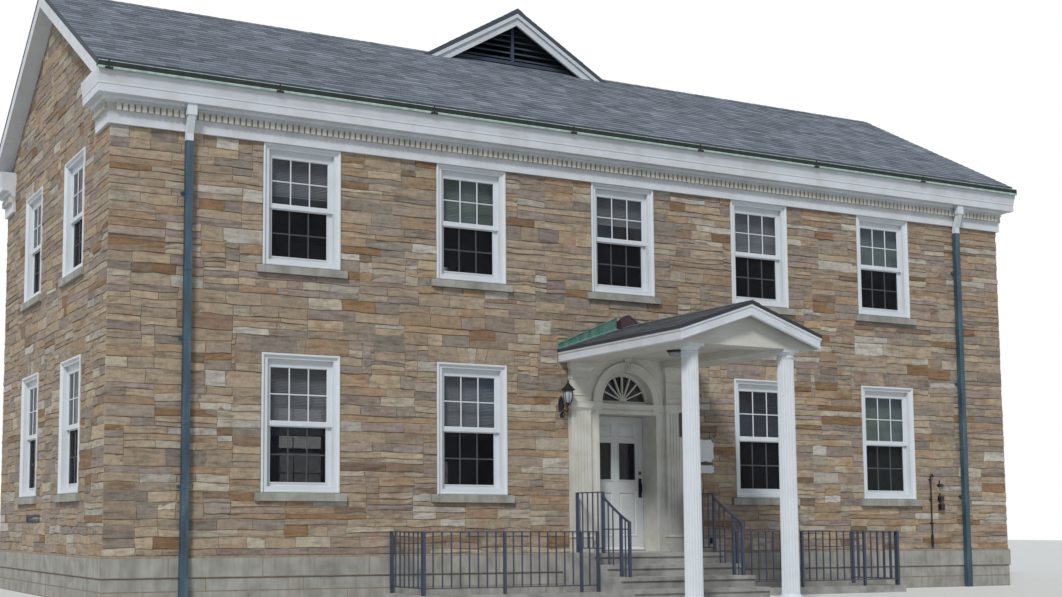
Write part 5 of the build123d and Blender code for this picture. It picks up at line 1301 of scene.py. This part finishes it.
# Bare hanging plate by the porch: an iron bracket with a scrolled end, a scalloped board in two
# parts and the bar between them. It stands off the wall on its bracket. The board's edge is an
# ellipse with its corners pushed out by the power, waved by the scallop
plate = {"left": 1.33, "right": 1.649, "foot": 2.08, "top": 2.44, "off": -0.06,
         "power": 0.55, "scallop": 0.045, "small": (1.962, 0.36), "bar": 2.56, "rod": 0.007,
         "edge": ((0.97, 0.0), (1.0, 0.004), (1.0, 0.018), (0.97, 0.022))}
middle, half = (plate["left"] + plate["right"]) / 2, (plate["right"] - plate["left"]) / 2
turn = 2 * np.pi * np.arange(64) / 64
scallop = 1 - plate["scallop"] * np.cos(8 * turn)
reachX, reachZ = (size * np.sign(wave) * np.abs(wave) ** plate["power"] * scallop for size, wave in
                  ((half, np.cos(turn)), ((plate["top"] - plate["foot"]) / 2, np.sin(turn))))
parts = []
for z, tall in (((plate["foot"] + plate["top"]) / 2, 1.0), plate["small"]):
    flat = np.stack([reachX, 0 * turn, reachZ * tall], -1)
    parts.append(tube([flat * share + [middle, plate["off"] - depth, z] for share, depth in plate["edge"]]))
makePiece("hanging_plate", "white", parts, "front")
left, right, off, bar = plate["left"], plate["right"], plate["off"], plate["bar"]
run = [(x, off - 0.011, bar) for x in (left - 0.05, middle, right)]
run += [(right + 0.02 + (0.045 - 0.006 * b) * math.sin(b), off - 0.011,
         bar - 0.045 + (0.045 - 0.006 * b) * math.cos(b)) for b in np.linspace(0, 1.6 * math.pi, 21)]
hooks = boxes([[left - 0.08, off - 0.018, 2.5], [middle - 0.1, -0.07, 2.44], [middle + 0.092, -0.07, 2.44],
               [left + 0.02, off - 0.016, 2.04]],
              [[left - 0.046, -0.004, 2.6], [middle - 0.092, -0.062, bar], [middle + 0.1, -0.062, bar],
               [right - 0.02, off - 0.006, 2.066]])
makePiece("plate_bracket", "black", [rod(run, plate["rod"], 6), hooks], "front")

# Air grille low on the left wall: a frame and slats that lean over a dark slot
vent = {"left": -2.625, "right": -1.703, "foot": 1.116, "top": 1.233, "slats": 4,
        "frame": [(0.0, -0.002), (0.0, -0.018), (0.014, -0.018), (0.014, -0.002)],
        "slat": [(0.0, -0.016), (0.012, -0.004), (0.01, -0.002), (-0.002, -0.014)]}
parts = [mitredFrame(vent["left"], vent["right"], vent["foot"], vent["top"], vent["frame"])]
for level in np.linspace(vent["foot"] + 0.022, vent["top"] - 0.03, vent["slats"]):
    parts.append(levelBar(vent["left"] + 0.012, vent["right"] - 0.012, np.array(vent["slat"]) + [level, 0]))
parts.append(boxes([vent["left"] + 0.01, -0.003, vent["foot"] + 0.01],
                   [vent["right"] - 0.01, 0.001, vent["top"] - 0.01]))
makePiece("wall_vent", "louvre", parts, "left")
print("fittings in place")

# Camera where the photograph was taken, with its framing
camera = {"place": (-13.228, -20.804, 1.056), "turn": (95.518, 0.0, -26.08), "lens": 49.254, "sensor": 36,
          "shift": (0.12857, 0.08223), "far": 500}
cameraData = bpy.data.cameras.new("camera")
cameraData.lens, cameraData.sensor_width = camera["lens"], camera["sensor"]
cameraData.clip_end = camera["far"]
cameraData.shift_x, cameraData.shift_y = camera["shift"]
cameraObject = bpy.data.objects.new("camera", cameraData)
cameraObject.location = camera["place"]
cameraObject.rotation_euler = [math.radians(a) for a in camera["turn"]]
bpy.context.scene.collection.objects.link(cameraObject)
bpy.context.scene.camera = cameraObject

# Pale floor, white backdrop and soft light: a broad key from the left and an even sky
studio = {"floorHalf": 80.0, "floor": "#cfcfcb", "sky": "#dbe6f5", "skyStrength": 0.44, "key": 2.7,
          "keyTurn": (46.0, 0.0, -44.0), "keyAngle": 12.0}
floorPoints = np.array([[-1, -1, 0], [1, -1, 0], [1, 1, 0], [-1, 1, 0]]) * studio["floorHalf"]
floorMesh = bpy.data.meshes.new("floor")
floorMesh.from_pydata(floorPoints.tolist(), [], [[0, 1, 2, 3]])
floor = bpy.data.objects.new("floor", floorMesh)
bpy.context.scene.collection.objects.link(floor)
floorMesh.materials.append(makeLayered("pale_floor", [studio["floor"]], [], Roughness=0.9))

world = bpy.data.worlds.new("studio")
bpy.context.scene.world = world
world.use_nodes = True
skyTree = world.node_tree
skyTree.nodes.clear()
rays = addNode(skyTree, "LightPath", {})
seen = addNode(skyTree, "Math", {0: rays["Is Camera Ray"], 1: rays["Is Glossy Ray"]}, operation="MAXIMUM")[0]
seen = addNode(skyTree, "Math", {0: seen, 1: rays["Is Transmission Ray"]}, operation="MAXIMUM")[0]
light = addNode(skyTree, "Background", {"Color": studio["sky"], "Strength": studio["skyStrength"]})[0]
white = addNode(skyTree, "Background", {"Color": "#ffffff", "Strength": 1.0})[0]
shown = addNode(skyTree, "MixShader", {0: seen, 1: light, 2: white})[0]
addNode(skyTree, "OutputWorld", {"Surface": shown})

keyData = bpy.data.lights.new("key", "SUN")
keyData.energy, keyData.angle = studio["key"], math.radians(studio["keyAngle"])
keyObject = bpy.data.objects.new("key", keyData)
keyObject.rotation_euler = [math.radians(a) for a in studio["keyTurn"]]
bpy.context.scene.collection.objects.link(keyObject)
bpy.context.scene.view_settings.view_transform = "Standard"
